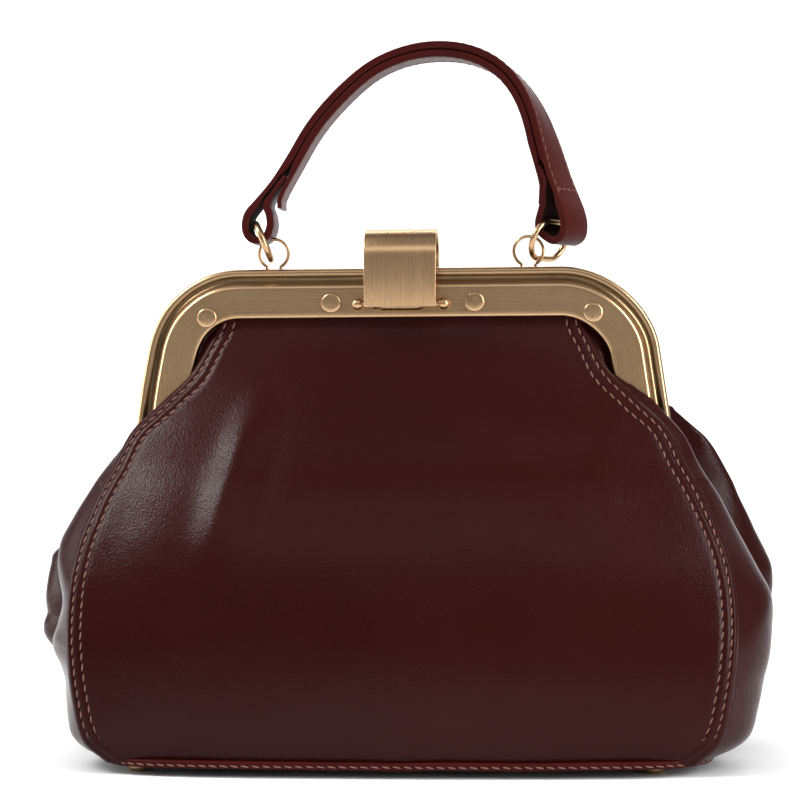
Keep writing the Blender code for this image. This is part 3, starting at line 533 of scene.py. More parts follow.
# Heights, then how far out the gusset reaches in its fold and at its ridges: left front, left rear,
# right front, right rear, and how far back from the seam the ridges lie, as a share of the way to the fold
gussetTable = (
    (5.1, 97.5, 99.0, 102.3, 104.2, 103.2, 0.45),
    (7.5, 104.0, 109.5, 113.0, 111.5, 110.5, 0.45),
    (10.0, 108.0, 113.2, 118.5, 116.0, 115.0, 0.45),
    (14.0, 112.0, 116.0, 122.3, 119.0, 118.0, 0.45),
    (24.0, 113.0, 117.0, 123.0, 122.0, 121.0, 0.46),
    (31.0, 113.5, 117.6, 126.0, 123.6, 122.8, 0.47),
    (36.0, 114.0, 119.4, 132.5, 124.7, 124.0, 0.48),
    (42.0, 114.5, 122.2, 136.3, 125.5, 125.7, 0.49),
    (48.0, 115.0, 120.5, 134.6, 126.0, 127.3, 0.50),
    (54.0, 115.5, 119.0, 134.9, 126.3, 128.6, 0.50),
    (60.0, 115.0, 119.0, 133.8, 125.0, 129.6, 0.48),
    (65.0, 113.5, 119.8, 132.6, 122.5, 129.4, 0.46),
    (70.0, 111.0, 120.2, 130.9, 120.0, 127.7, 0.43),
    (77.0, 105.0, 118.5, 120.5, 116.5, 124.4, 0.40),
    (85.0, 95.0, 114.0, 117.0, 113.0, 121.0, 0.36),
    (90.0, 88.0, 110.7, 114.7, 110.5, 118.7, 0.33),
    (97.0, 80.0, 106.0, 110.0, 106.6, 115.8, 0.30),
    (103.0, 75.0, 101.6, 105.5, 103.5, 112.9, 0.28),
    (111.0, 70.0, 95.6, 99.5, 100.0, 107.6, 0.25),
    (115.0, 67.0, 92.9, 96.5, 97.0, 102.9, 0.22),
    (120.0, 68.0, 87.8, 91.5, 92.5, 97.3, 0.22),
    (125.0, 73.0, 83.0, 86.5, 88.0, 93.5, 0.22),
    (130.0, 76.0, 78.0, 80.0, 82.0, 88.5, 0.22),
    (134.5, 77.0, 73.6, 75.0, 75.5, 78.0, 0.22),
    (140.0, 76.6, 71.8, 71.8, 71.8, 72.0, 0.22),
    (145.5, 75.0, 70.2, 70.2, 70.2, 70.2, 0.22),
    (149.0, 72.5, 67.6, 67.6, 67.6, 67.6, 0.22),
    (152.0, 68.5, 63.8, 63.8, 63.8, 63.8, 0.22),
)
leatherSize = {
    "low": 5.1,
    "high": 163.0,
    "rowStep": 1.6,
    "thickness": 1.4,
    "lean": 2.0,
    "leanFade": (112, -60),  # fades are a height and a span, for riseFrom
    "split": 96.0,
}
panelSize = {
    "bow": 3,  # how late the depth falls off towards the seams
    "softFade": (150, -25),
    "lumps": ((38, 7.3, 0.55), (15, 3.1, 0.12)),  # length, seed and height
    "lumpShare": 0.8,
    "edgeWidth": 1.5,
    "edgeDrop": 1.15,
    "grooveWidth": 0.6,
    "grooveDepth": 0.30,
    "ridgeAt": 3.85,
    "ridgeWidth": 0.8,
    "ridgeHeight": 0.22,
    "middleColumns": 26,
}
# How far from the seam the panel's first columns stand, with its grooves and without them
seamColumns = (0, 0.35, 0.8, 1.2, 1.6, 2.0, 2.3, 2.6, 3.0, 3.8, 4.7, 5.1, 5.4, 5.7, 6.1, 6.8, 8.0, 10.0)
plainColumns = (0, 4.0, 10.0)
gussetSize = {
    "top": 152.0,
    "rowStep": 1.5,
    "columns": 26,
    "seamInset": 0.5,
    "behind": 1.55,
    "behindMore": 1.3,
    "behindFade": (95, 14),
    "creases": ((21, 2.2, 5.7, 1.1), (9, 5, 1, 0.3)),  # length, turns, seed and height
    "creaseFade": (140, -30),
    "clearFrom": 80,
    "hingeClear": 84.6,
    "legClear": 0.35,
    "legFade": (104, 6),
    "freeBelow": (91, 3),  # where the frame's limit lets go, and by how much for each mm
    "freeOutside": (7.6, 9),
    "freeInside": (2.3, 3.2),
    "insideFade": (118, 8),
    "softness": (0.75, 0.1),
    "softnessFade": (112, 14),
}
# Soft ridges and dents in the front leather: two ends as x and z, height, half width, all in mm
frontDents = (
    ((-49, 124), (-64, 68), 2.8, 5.8),
    ((-41, 120), (-54, 76), -0.7, 6.0),
    ((-90, 100), (-101, 60), -0.5, 8.0),
    ((66, 104), (71, 84), 0.75, 5.0),
    ((57, 112), (60, 76), -0.6, 7.0),
    ((80, 110), (90, 70), -0.4, 7.0),
    ((-30, 40), (35, 34), 0.5, 16.0),
    ((10, 110), (30, 60), -0.35, 20.0),
)
stitchRows = {
    "fromEdge": (2.3, 5.4),
    "pitch": 3.5,
    "length": 2.5,
    "radius": 0.29,
    "holeRadius": 0.36,
    "top": 161.0,
    "bottom": 7.5,
    "step": 0.8,
}


def seamSlope(z):
    ahead, behind = min(z + 1, leatherSize["high"]), max(z - 1, leatherSize["low"])
    return (smoothAt(bodyTable, ahead, 1) - smoothAt(bodyTable, behind, 1)) / (ahead - behind)


# The soft body leans a little to the right below its frames
def bodyLean(z):
    return leatherSize["lean"] * riseFrom(*leatherSize["leanFade"], z)


# Signed distance from a line piece, and how near its middle, from 0 at the ends to 1
def lineDistance(x, z, start, end):
    along = Vector(end) - Vector(start)
    place = Vector((x, z)) - Vector(start)
    share = place.dot(along) / along.length_squared
    side = (place.x * along.y - place.y * along.x) / along.length
    return side, smoothStep(1.15 - abs(share - 0.5) * 1.6)


# How far in front of the middle plane the panel's outer face is, in mm
def panelDepth(x, z, side):
    size = panelSize
    seam = smoothAt(bodyTable, z, 1)
    centre, atSeam = smoothAt(bodyTable, z, 2), smoothAt(bodyTable, z, 3)
    share = min(abs(x) / seam, 1)
    depth = between(centre, atSeam, share ** size["bow"])
    inset = (seam - abs(x)) / math.sqrt(1 + seamSlope(z) ** 2)
    free = riseFrom(*size["softFade"], z)
    if side < 0:
        for start, end, height, width in frontDents:
            away, near = lineDistance(x, z, start, end)
            depth += height * bell(away, width) * near * free
    for wave, seed, height in size["lumps"]:
        depth += noise.noise(Vector((x / wave, z / wave, side * seed))) * height * free * size["lumpShare"]
    depth -= size["edgeDrop"] * max(1 - inset / size["edgeWidth"], 0) ** 2
    for row in stitchRows["fromEdge"]:
        depth -= size["grooveDepth"] * bell(inset - row, size["grooveWidth"])
    return depth + size["ridgeHeight"] * bell(inset - size["ridgeAt"], size["ridgeWidth"])


# Rows from low to high, anticlockwise seen from above
def panelRows(side, step=1.0, bottom=None):
    edges = plainColumns if step > 1 else seamColumns
    middle = int(panelSize["middleColumns"] / step)
    low, high = leatherSize["low"] if bottom is None else bottom, leatherSize["high"]
    count = int((high - low) / (leatherSize["rowStep"] * step))
    rows = []
    for i in range(count + 1):
        z = between(low, high, i / count)
        seam = smoothAt(bodyTable, z, 1)
        lean = math.sqrt(1 + seamSlope(z) ** 2)
        half = [seam - edge * lean for edge in edges]
        half += [half[-1] * (1 - j / middle) for j in range(1, middle + 1)]
        line = half + [-x for x in reversed(half[:-1])]
        if side < 0:
            line.reverse()
        rows.append([Vector((x + bodyLean(z), side * panelDepth(x, z, side), z)) * mm for x in line])
    return rows


frameSize = {
    "top": 171.4,
    "halfWidth": 85.16,
    "corner": 33.0,
    "splay": 8.18,
    "legEnd": 111.0,
    "bead": (1.7, 3.5, 1.6),
    "rail": 17.6,
    "hinge": 97.0,
    "lugRadius": 4.5,
    "lugTop": 117.0,
    "lugInner": 88.6,
    "lugHalfWidth": 3,
    "lugThickness": 1.6,
    "gap": 0.3,
    "flareLeft": (-0.9, 152, -24),  # how far, and its fade as for riseFrom
    "flareRight": (1.9, 172, -30),
}
splay = math.radians(frameSize["splay"])
reach = frameSize["corner"] * math.tan((math.pi / 2 - splay) / 2)
cornerX, cornerZ = frameSize["halfWidth"] - reach, frameSize["top"] - frameSize["corner"]


# The inner edge of the frame's leg and corner at this height
def legInside(z):
    if z < cornerZ + frameSize["corner"] * math.sin(splay):
        top = cornerX + frameSize["corner"] * math.cos(splay)
        drop = cornerZ + frameSize["corner"] * math.sin(splay) - z
        return top + drop * math.tan(splay) - frameSize["rail"] / math.cos(splay)
    radius = frameSize["corner"] - frameSize["rail"]
    return cornerX + math.sqrt(max(radius**2 - (z - cornerZ) ** 2, 0))


# A point of a gusset; along runs from -1 at the front seam over 0 in the fold to 1 at the rear seam
def gussetPoint(across, along, z):
    size = gussetSize
    share = 1 - abs(along)
    column = (2 if across < 0 else 4) + (0 if along < 0 else 1)
    fold, ridge, peak = (smoothAt(gussetTable, z, place) for place in (1, column, 6))
    if abs(along) < 0.0001:
        ridge = fold
    seam = smoothAt(bodyTable, z, 1) - size["seamInset"]
    behind = size["behind"] + size["behindMore"] * riseFrom(*size["behindFade"], z)
    depth = smoothAt(bodyTable, z, 3) - behind
    y = depth * (1 - share)
    if share < peak:
        x = between(seam, ridge, math.sin(math.pi / 2 * share / peak))
    else:
        x = between(ridge, fold, smoothStep((share - peak) / (1 - peak)))
    crease = 0
    for wave, turns, seed, height in size["creases"]:
        crease += noise.noise(Vector((z / wave, along * turns, across * seed))) * height
    x += crease * math.sin(math.pi * min(share * 1.6, 1)) * riseFrom(*size["creaseFade"], z)
    if z > size["clearFrom"]:
        legs = legInside(z) - size["legClear"]
        limit = between(size["hingeClear"], legs, riseFrom(*size["legFade"], z))
        (below, fast), (outside, steep) = size["freeBelow"], size["freeOutside"]
        inside, slow = size["freeInside"]
        limit += max(below - z, 0) * fast + steep * max(y - outside, 0)
        limit += slow * max(inside - y, 0) * riseFrom(*size["insideFade"], z)
        soft = between(*size["softness"], riseFrom(*size["softnessFade"], z))
        over = x - limit
        if over > -2 * soft:
            x = limit - soft + soft * math.tanh(over / (2 * soft)) if over < 4 else limit
    return Vector((across * x + bodyLean(z), math.copysign(y, along), z)) * mm


def gussetRows(across, low, high, first, last, step=1.0):
    count = max(int((high - low) / (gussetSize["rowStep"] * step)), 2)
    wide = int(gussetSize["columns"] * (last - first) / step)
    rows = []
    for i in range(count + 1):
        z = between(low, high, i / count)
        line = [gussetPoint(across, between(first, last, j / wide), z) for j in range(wide + 1)]
        if across < 0:
            line.reverse()
        rows.append(line)
    return rows


# Bakes a leather piece's transform into its mesh
def bendPanel(piece):
    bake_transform(piece)


def bendSide(piece):
    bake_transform(piece)


def stitchLine(side, across, fromEdge):
    line = []
    z = stitchRows["bottom"]
    while z <= stitchRows["top"]:
        slope = seamSlope(z)
        lean = math.sqrt(1 + slope**2)
        x = smoothAt(bodyTable, z, 1) - fromEdge * lean
        line.append(Vector((across * x + bodyLean(z), side * panelDepth(x * across, z, side), z)))
        z += stitchRows["step"]
    return line


# Sets a shape of size one on three axes around a centre, all in mm
def placeMatrix(centre, *axes):
    columns = [(*(axis * mm), 0) for axis in axes] + [(*(centre * mm), 1)]
    return Matrix(columns).transposed()


# Adds a copy of a small shape at a place; a mesh carries it, because making it there is slow
def addCopy(shape, unit, place):
    made, carrier = unit.copy(), bpy.data.meshes.new("carrier")
    made.transform(place)
    made.to_mesh(carrier)
    made.free()
    shape.from_mesh(carrier)
    bpy.data.meshes.remove(carrier)


# Shares of a stitch's radius, of its length and of its hole's radius, then mm
stitchShape = {"sunk": 0.2, "long": 0.54, "slant": 0.16, "holeLong": 1.25, "holeDrop": 0.12, "holeThick": 0.3}


# Stitches along a line: each dives into its needle holes, dark discs of the second material that paint the
# shade inside the holes
def addStitches(shape, line, outwards, look, lift=0.0):
    stitch, holeShadeDisc = bmesh.new(), bmesh.new()
    bmesh.ops.create_uvsphere(stitch, u_segments=8, v_segments=8, radius=1)
    # Each hole is a flat dark disc: painted shade of the hole
    bmesh.ops.create_cone(holeShadeDisc, cap_ends=True, segments=8, radius1=0.8, radius2=1, depth=1)
    for face in holeShadeDisc.faces:
        face.material_index = 1
    count = int(pathLength(line) / look["pitch"])
    points = evenPath(line, count * 2 + 1)
    for n in range(count):
        start, middle, end = points[n * 2 : n * 2 + 3]
        along = (end - start).normalized()
        out = outwards(middle, along)
        side = along.cross(out)
        r, size = look["radius"], look["holeRadius"]
        slant = (along + side * stitchShape["slant"]).normalized() * look["length"] * stitchShape["long"]
        place = placeMatrix(middle + out * (lift + r * stitchShape["sunk"]), out * r, side * r, slant)
        addCopy(shape, stitch, place)
        mouth = along * size * stitchShape["holeLong"], side * size, out * stitchShape["holeThick"]
        addCopy(shape, holeShadeDisc, placeMatrix(start + out * (lift - stitchShape["holeDrop"]), *mouth))
    stitch.free()
    holeShadeDisc.free()


def panelOut(side):
    def out(point, along):
        x = point.x - bodyLean(point.z)
        a = panelDepth(x + 0.5, point.z, side) - panelDepth(x - 0.5, point.z, side)
        b = panelDepth(x, point.z + 0.5, side) - panelDepth(x, point.z - 0.5, side)
        way = Vector((-a, side, -b)).normalized()
        return (way - along * way.dot(along)).normalized()

    return out


for side, word in ((-1, "front"), (1, "rear")):
    shape = shellShape(panelRows(side), leatherSize["thickness"] * mm)
    piece = addPiece(f"{word}_leather", shape, [leather], None)
    bendPanel(piece)
    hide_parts(f"{word}_panel_lower", f"{word}_panel_upper")
    shape = bmesh.new()
    for across in (-1, 1):
        for row in stitchRows["fromEdge"]:
            addStitches(shape, stitchLine(side, across, row), panelOut(side), stitchRows)
    piece = addPiece(f"{word}_stitching", shape, [thread, holeShade], None)
    bendPanel(piece)
print("stage: panels and stitching")

for across, word in ((-1, "left"), (1, "right")):
    thick = leatherSize["thickness"] * mm
    for first, last, half in ((-1, 0, "front"), (0, 1, "rear")):
        levels = (leatherSize["low"], leatherSize["split"], gussetSize["top"])
        for low, high, level, part in zip(levels, levels[1:], ("low", "high"), ("lower", "upper")):
            rows = gussetRows(across, low, high, first, last)
            shape = shellShape(rows, thick)
            piece = addPiece(f"side_{word}_{half}_{level}", shape, [leather], None)
            bendSide(piece)
            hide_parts(f"gusset_{word}_{part}")
print("stage: gussets")

liningSize = {
    "inside": 2.3,
    "thickness": 0.5,
    "coarser": 2.5,
    "sideCoarser": 2.0,
    "low": 9.0,
    "sideHigh": 94.0,
    "sideReach": 0.94,
    "floor": 7.9,
    "floorThickness": 0.6,
    "floorHalfWidth": 101,
    "floorHalfDepth": 50,
    "floorCorner": 8,
}
thick = liningSize["thickness"] * mm
for side, word in ((-1, "front"), (1, "rear")):
    rows = moveInwards(panelRows(side, liningSize["coarser"], liningSize["low"]), liningSize["inside"] * mm)
    piece = addPiece(f"lining_{word}", shellShape(rows, thick), [lining], None)
    bendPanel(piece)
    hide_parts("lining")
for across, word in ((-1, "left"), (1, "right")):
    for first, last, half in ((-liningSize["sideReach"], 0, "front"), (0, liningSize["sideReach"], "rear")):
        low, high, step = liningSize["low"], liningSize["sideHigh"], liningSize["sideCoarser"]
        rows = gussetRows(across, low, high, first, last, step)
        shape = shellShape(moveInwards(rows, liningSize["inside"] * mm), thick)
        piece = addPiece(f"lining_{word}_{half}", shape, [lining], None)
        bendSide(piece)
        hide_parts("lining")
shape = bmesh.new()
corners = []
corner = liningSize["floorCorner"]
wide, deep = liningSize["floorHalfWidth"] - corner, liningSize["floorHalfDepth"] - corner
for signX, signY, turn in ((1, 1, 0), (-1, 1, 1), (-1, -1, 2), (1, -1, 3)):
    start = turn * math.pi / 2
    corners += arcPoints((signX * wide, signY * deep), corner, start, start + math.pi / 2, 8)
low, high = liningSize["floor"], liningSize["floor"] + liningSize["floorThickness"]
prism(shape, corners, lambda a, b, c: Vector((a, b, c)) * mm, low, high)
piece = addPiece("lining_floor", shape, [lining], "bag_body")
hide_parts("lining")
print("stage: lining")


weltSize = {
    "under": 2.9,
    "high": 5.5,
    "thickness": 2.2,
    "gap": 0.7,
    "wave": 0.35,
    "waveLength": 16,
    "outline": 5.1,
    "places": 160,
    "smoothing": 16,
    "rounding": 0.8,
    "stitchHeight": 0.42,
}
weltStitches = {"pitch": 3.6, "length": 2.7, "radius": 0.26, "holeRadius": 0.30}


def bodyOutline(z):
    front = [(p.x / mm, p.y / mm) for p in panelRows(-1, 2.0, z)[0]]
    right = [gussetPoint(1, between(-1, 1, j / 24), z) / mm for j in range(25)]
    left = [gussetPoint(-1, between(1, -1, j / 24), z) / mm for j in range(25)]
    rear = [(p.x / mm, p.y / mm) for p in panelRows(1, 2.0, z)[0]]
    return front + [(p.x, p.y) for p in right[1:-1]] + rear + [(p.x, p.y) for p in left[1:-1]]


outline = bodyOutline(weltSize["outline"])
ring = evenPath([(x, y, 0) for x, y in outline + outline[:1]], weltSize["places"] + 1)[:-1]
for _ in range(weltSize["smoothing"]):
    ring = [(ring[i - 1] + point * 2 + ring[(i + 1) % len(ring)]) / 4 for i, point in enumerate(ring)]
half, tall = weltSize["thickness"] / 2, weltSize["high"] - weltSize["under"]
path, weltLine = [], []
for i, point in enumerate(ring):
    way = (ring[(i + 1) % len(ring)] - ring[i - 1]).normalized()
    out = Vector((way.y, -way.x, 0))
    wave = noise.noise(Vector((point.x / weltSize["waveLength"], point.y / weltSize["waveLength"], 2.4)))
    wave *= weltSize["wave"]
    moved = point + out * (weltSize["gap"] + half + wave)
    path.append(Vector((moved.x, moved.y, weltSize["under"] + wave)) * mm)
    weltLine.append((point + out * (weltSize["gap"] + weltSize["thickness"] + wave), out))
corners = [(-half, 0, 0.5), (half, 0, 1), (half, tall, 1), (-half, tall, 0.5)]
section = roundedProfile(corners, weltSize["rounding"])
shape = bmesh.new()
sweepShape(shape, flatStations(path, (0, 0, 1), True), [(a * mm, b * mm) for a, b in section], True)
piece = addPiece("welt_strip", shape, [strapLeather], "bag_body")
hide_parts("base_welt")
low = weltSize["under"] + tall * weltSize["stitchHeight"]
row = [Vector((point.x, point.y, low)) for point, _ in weltLine + weltLine[:1]]


def weltOut(point, along):
    return min(weltLine, key=lambda pair: (pair[0] - Vector((point.x, point.y, 0))).length)[1]


shape = bmesh.new()
addStitches(shape, row, weltOut, weltStitches)
addPiece("welt_stitching", shape, [thread, holeShade], "bag_body")
# The bottom leather closes the ring inside the welt
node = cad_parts["base_panel"]
levels = sorted((node.matrix_world @ Vector(corner)).z / mm for corner in node.bound_box)
shape = bmesh.new()
outline = [(point.x, point.y) for point in ring]
prism(shape, outline, lambda a, b, z: Vector((a, b, z)) * mm, levels[0], levels[-1])
piece = addPiece("bottom_leather", shape, [leather], "bag_body")
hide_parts("base_panel")
print("stage: welt")

footSize = {"x": 87.0, "y": 42.0, "radius": 3.6, "height": 2.7, "shank": 1.2, "top": 7.2, "edge": 0.15}
r, h, shank, edge = (footSize[size] for size in ("radius", "height", "shank", "edge"))
profile = [(0, footSize["top"]), (shank, footSize["top"]), (shank, h), (r - edge, h), (r, h - edge)]
profile += [(r, h * 0.55), (r * 0.97, h * 0.3), (r * 0.86, h * 0.1), (r * 0.72, 0), (0, 0)]
footSigns = {"front_left": (-1, -1), "front_right": (1, -1), "rear_left": (-1, 1), "rear_right": (1, 1)}
for word, (signX, signY) in footSigns.items():
    turn = Matrix.Translation((signX * footSize["x"] * mm, signY * footSize["y"] * mm, 0))
    shape = turnedShape([(a * mm, b * mm) for a, b in profile], turn)
    piece = addPiece(f"foot_stud_{word}", shape, [plainBrass], "bag_body")
    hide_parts(f"foot_{word}")


# The legs stand a little wider than an even frame's, the right one more
def flareAt(x, z):
    far, start, span = frameSize["flareLeft" if x < 0 else "flareRight"]
    return far * riseFrom(start, span, z)


# The frame's outer edge from the left leg's end over the top to the right leg's end
def railPath(steps=22):
    right = arcPoints((cornerX, cornerZ), frameSize["corner"], math.pi / 2, splay, steps)
    drop = (right[-1][1] - frameSize["legEnd"]) / math.cos(splay)
    for i in range(1, 7):
        at = drop * i / 6
        right.append((right[steps][0] + at * math.sin(splay), right[steps][1] - at * math.cos(splay)))
    middle = [(cornerX * i / 12, frameSize["top"]) for i in range(12)]
    right = middle + right
    whole = [(-x, z) for x, z in reversed(right)][:-1] + right
    return [(x + flareAt(x, z), z) for x, z in whole]


# Inset from the outer edge and depth, with how dark each point has gone with age
def railProfile():
    s, y, r = frameSize["bead"]
    points = []
    for i in range(17):
        angle = math.radians(between(-62, -328, i / 16))
        points.append((s + r * math.cos(angle), y + r * math.sin(angle), 0.12 if i < 14 else 0.7))
    points += [(3.28, 4.12, 0.8), (3.5, 4.02, 0.8), (3.8, 4.08, 0.7), (4.3, 4.35, 0.5), (4.8, 4.82, 0.35)]
    points += [(5.3, 5.42, 0.2), (5.7, 5.95, 0.1), (6.1, 6.4, 0.0), (6.6, 6.75, 0.0), (7.2, 6.9, 0.0)]
    points += [(7.9, 6.92, 0.05), (10.0, 6.88, 0.1), (13.0, 6.86, 0.1), (15.6, 6.88, 0.1), (16.7, 6.9, 0.05)]
    points += [(17.2, 6.78, 0.0), (17.5, 6.5, 0.0), (17.6, 6.15, 0.1), (17.45, 5.82, 0.3), (17.1, 5.7, 0.5)]
    points += [(8.0, 5.7, 0.5), (7.2, 5.45, 0.5), (4.9, 3.1, 0.5), (4.2, 2.6, 0.5), (3.3, 2.25, 0.5)]
    return points


def lugOutline(side):
    eye = arcPoints((0, frameSize["hinge"]), frameSize["lugRadius"], math.radians(195), math.radians(345), 20)
    middle, wide = frameSize["bead"][1], frameSize["lugHalfWidth"]
    outline = eye + [(middle + wide, frameSize["lugTop"]), (middle - wide, frameSize["lugTop"])]
    return [(side * y, z) for y, z in outline]


for side, word in ((-1, "front"), (1, "rear")):
    shape = bmesh.new()
    profile = railProfile()
    stations = flatStations([(x * mm, 0, z * mm) for x, z in railPath()], (0, side, 0))
    stations = [(p, s if s.z < 0 else -s, u) for p, s, u in stations]  # the side is inwards
    marks = ("patina", [c for _, _, c in profile])
    sweepShape(shape, stations, [(a * mm, b * mm) for a, b, _ in profile], False, marks)
    first = frameSize["lugInner"] + (0 if side < 0 else frameSize["lugThickness"] + frameSize["gap"])
    for across in (-1, 1):
        low, high = across * first, across * (first + frameSize["lugThickness"])
        prism(shape, lugOutline(side), lambda a, b, c: Vector((c, a, b)) * mm, low, high)
    piece = addPiece(f"{word}_rail", shape, [railBrass], f"{word}_frame", 50)
    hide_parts(f"{word}_frame")
print("stage: frames")

rivetSize = {
    "inset": 12.6,
    "spacing": 50.4,
    "innerShift": (1.3, 0.2),
    "cornerAngle": 33.6,
    "cornerDrop": (1.2, 0.5),
    "radius": 3.5,
    "face": 7.2,
    "thickness": 1.0,
    "shank": 1.4,
}
inner = frameSize["corner"] - rivetSize["inset"]
turn = math.radians(rivetSize["cornerAngle"])
cornerPlace = (cornerX + inner * math.sin(turn), cornerZ + inner * math.cos(turn))
half, (right, up) = rivetSize["spacing"] / 2, rivetSize["innerShift"]
level = frameSize["top"] - rivetSize["inset"] + up
leftDrop, rightDrop = rivetSize["cornerDrop"]
rivetPlaces = [(-cornerPlace[0], cornerPlace[1] - leftDrop), (right - half, level)]
rivetPlaces += [(right + half, level), (cornerPlace[0], cornerPlace[1] - rightDrop)]
face, r, thick, shank = (rivetSize[size] for size in ("face", "radius", "thickness", "shank"))
headShares = ((0, 0.98), (0.5, 0.95), (0.8, 0.86), (0.93, 0.72), (0.985, 0.5), (1, 0.25), (1, 0))
profile = [(r * a, face + thick * b) for a, b in headShares]
# The shank and its burr behind the clamp strip
profile += [(shank, face), (shank, 2.0), (2.4, 2.0), (2.3, 1.5), (1.9, 1.2), (0, 1.2)]
for side, word in ((-1, "front"), (1, "rear")):
    for number, (x, z) in enumerate(rivetPlaces, 1):
        place = Matrix.Translation((x * mm, 0, z * mm)) @ Matrix.Rotation(-side * math.radians(90), 4, "X")
        shape = turnedShape([(a * mm, b * mm) for a, b in profile], place)
        piece = addPiece(f"{word}_stud_{number}", shape, [plainBrass], f"{word}_frame")
        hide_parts(f"{word}_rivet_{number}")
print("stage: rivets")


claspSize = {
    "halfWidth": 12.6,
    "top": 185.1,
    "bottom": 157.3,
    "radius": 11.2,
    "face": 13.2,
    "thickness": 1.2,
    "tail": 171.9,
    "pinZ": 158.4,
    "pinY": -9.6,
    "pinRadius": 0.95,
    "ball": 2.1,
    "ballX": 15.1,
    "knuckle": 2.3,
    "knuckleHalf": 6.6,
    "backTop": 159.5,
    "backFoot": 0.3,
    "backGap": 0.6,
    "bevel": 0.28,
    "shift": 0.8,
}
c = claspSize
centre = (c["radius"] - c["face"], c["top"] - c["radius"])
outside = arcPoints(centre, c["radius"], math.pi, 0, 36)
insideArc = arcPoints(centre, c["radius"] - c["thickness"], 0, math.pi, 36)
tailY = centre[0] + c["radius"]
outline = [(-c["face"], c["bottom"])] + outside + [(tailY, c["tail"]), (tailY - c["thickness"], c["tail"])]
outline += insideArc + [(c["thickness"] - c["face"], c["bottom"])]
shape = bmesh.new()
prism(shape, outline, lambda a, b, x: Vector((x, a, b)) * mm, -c["halfWidth"], c["halfWidth"])
bmesh.ops.remove_doubles(shape, verts=shape.verts, dist=1e-7)
bmesh.ops.recalc_face_normals(shape, faces=shape.faces)
bevelSharp(shape, c["bevel"] * mm)
knuckle = [(a * mm, b * mm) for a, b in roundProfile(c["knuckle"], 28)]
ends = [Vector((x, c["pinY"], c["pinZ"])) * mm for x in (-c["knuckleHalf"], c["knuckleHalf"])]
sweepShape(shape, [(end, Vector((0, 1, 0)), Vector((0, 0, 1))) for end in ends], knuckle, False)
near, low = c["backGap"] - c["face"], c["bottom"] + c["backFoot"]
box = [(near, low), (c["pinY"], low), (c["pinY"], c["backTop"]), (near, c["backTop"])]
prism(shape, box, lambda a, b, x: Vector((x, a, b)) * mm, -c["knuckleHalf"], c["knuckleHalf"])
shape.transform(Matrix.Translation((c["shift"] * mm, 0, 0)))
piece = addPiece("clasp_plate", shape, [flapBrass], "clasp", 30)
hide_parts("clasp_flap")

ball = c["ball"]
start = math.asin(c["pinRadius"] / ball)
upper = [(max(r, 0), h) for r, h in arcPoints((0, c["ballX"]), ball, math.pi / 2, -math.pi / 2 + start, 18)]
lower = [(r, -h) for r, h in reversed(upper)]
place = Matrix.Translation(Vector((c["shift"], c["pinY"], c["pinZ"])) * mm)
place = place @ Matrix.Rotation(math.radians(90), 4, "Y")
shape = turnedShape([(a * mm, b * mm) for a, b in upper + lower], place, 32)
piece = addPiece("clasp_rod", shape, [plainBrass], "front_frame")
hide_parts("clasp_pin")
print("stage: clasp")


loopSize = {"x": 45.3, "z": 177.1, "radius": 5.2, "wire": 0.6, "spread": 2.42, "foot": 168.8, "y": 3.5}
ringSize = {"hookZ": 174.9, "halfHeight": 6.8, "halfWidth": 10.6, "wire": 1.15, "tilt": 22}
# Where each ring's lower bar crosses its loop, the ring's turn, and how far it slides along that bar
ringPlace = {"left": {"x": -46.2, "turn": -5, "slide": 0}, "right": {"x": 47.4, "turn": 32, "slide": 6.0}}
for across, word in ((-1, "left"), (1, "right")):
    drop = math.acos(loopSize["spread"] / loopSize["radius"])
    arc = arcPoints((0, loopSize["z"]), loopSize["radius"], -drop, math.pi + drop, 48)
    line = [(loopSize["spread"], loopSize["foot"])] + arc + [(-loopSize["spread"], loopSize["foot"])]
    points = [Vector((across * loopSize["x"] + x, loopSize["y"], z)) * mm for x, z in line]
    shape = tubeShape(points, loopSize["wire"] * mm, 16)
    piece = addPiece(f"wire_loop_{word}", shape, [wireBrass], "rear_frame", 60)
    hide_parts(f"handle_loop_{word}")

    high = ringSize["halfHeight"]
    straight = ringSize["halfWidth"] - high
    oval = arcPoints((straight, 0), high, -math.pi / 2, math.pi / 2, 22)
    oval += arcPoints((-straight, 0), high, math.pi / 2, 3 * math.pi / 2, 22)
    tilt = Matrix.Rotation(across * math.radians(ringSize["tilt"]), 4, "Y")
    held = ringPlace[word]
    turned = Matrix.Rotation(-math.radians(held["turn"]), 4, "Z")
    past = max(held["slide"] - straight, 0)
    rise = math.sqrt(high**2 - past**2)
    hook = Vector((held["x"], loopSize["y"], ringSize["hookZ"]))
    points = [(hook + turned @ (tilt @ Vector((0, y + held["slide"], z + rise)))) * mm for y, z in oval]
    shape = tubeShape(points, ringSize["wire"] * mm, 24, True)
    piece = addPiece(f"oval_ring_{word}", shape, [wireBrass], f"ring_{word}", 60)
    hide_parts(f"ring_{word}")
print("stage: rings")


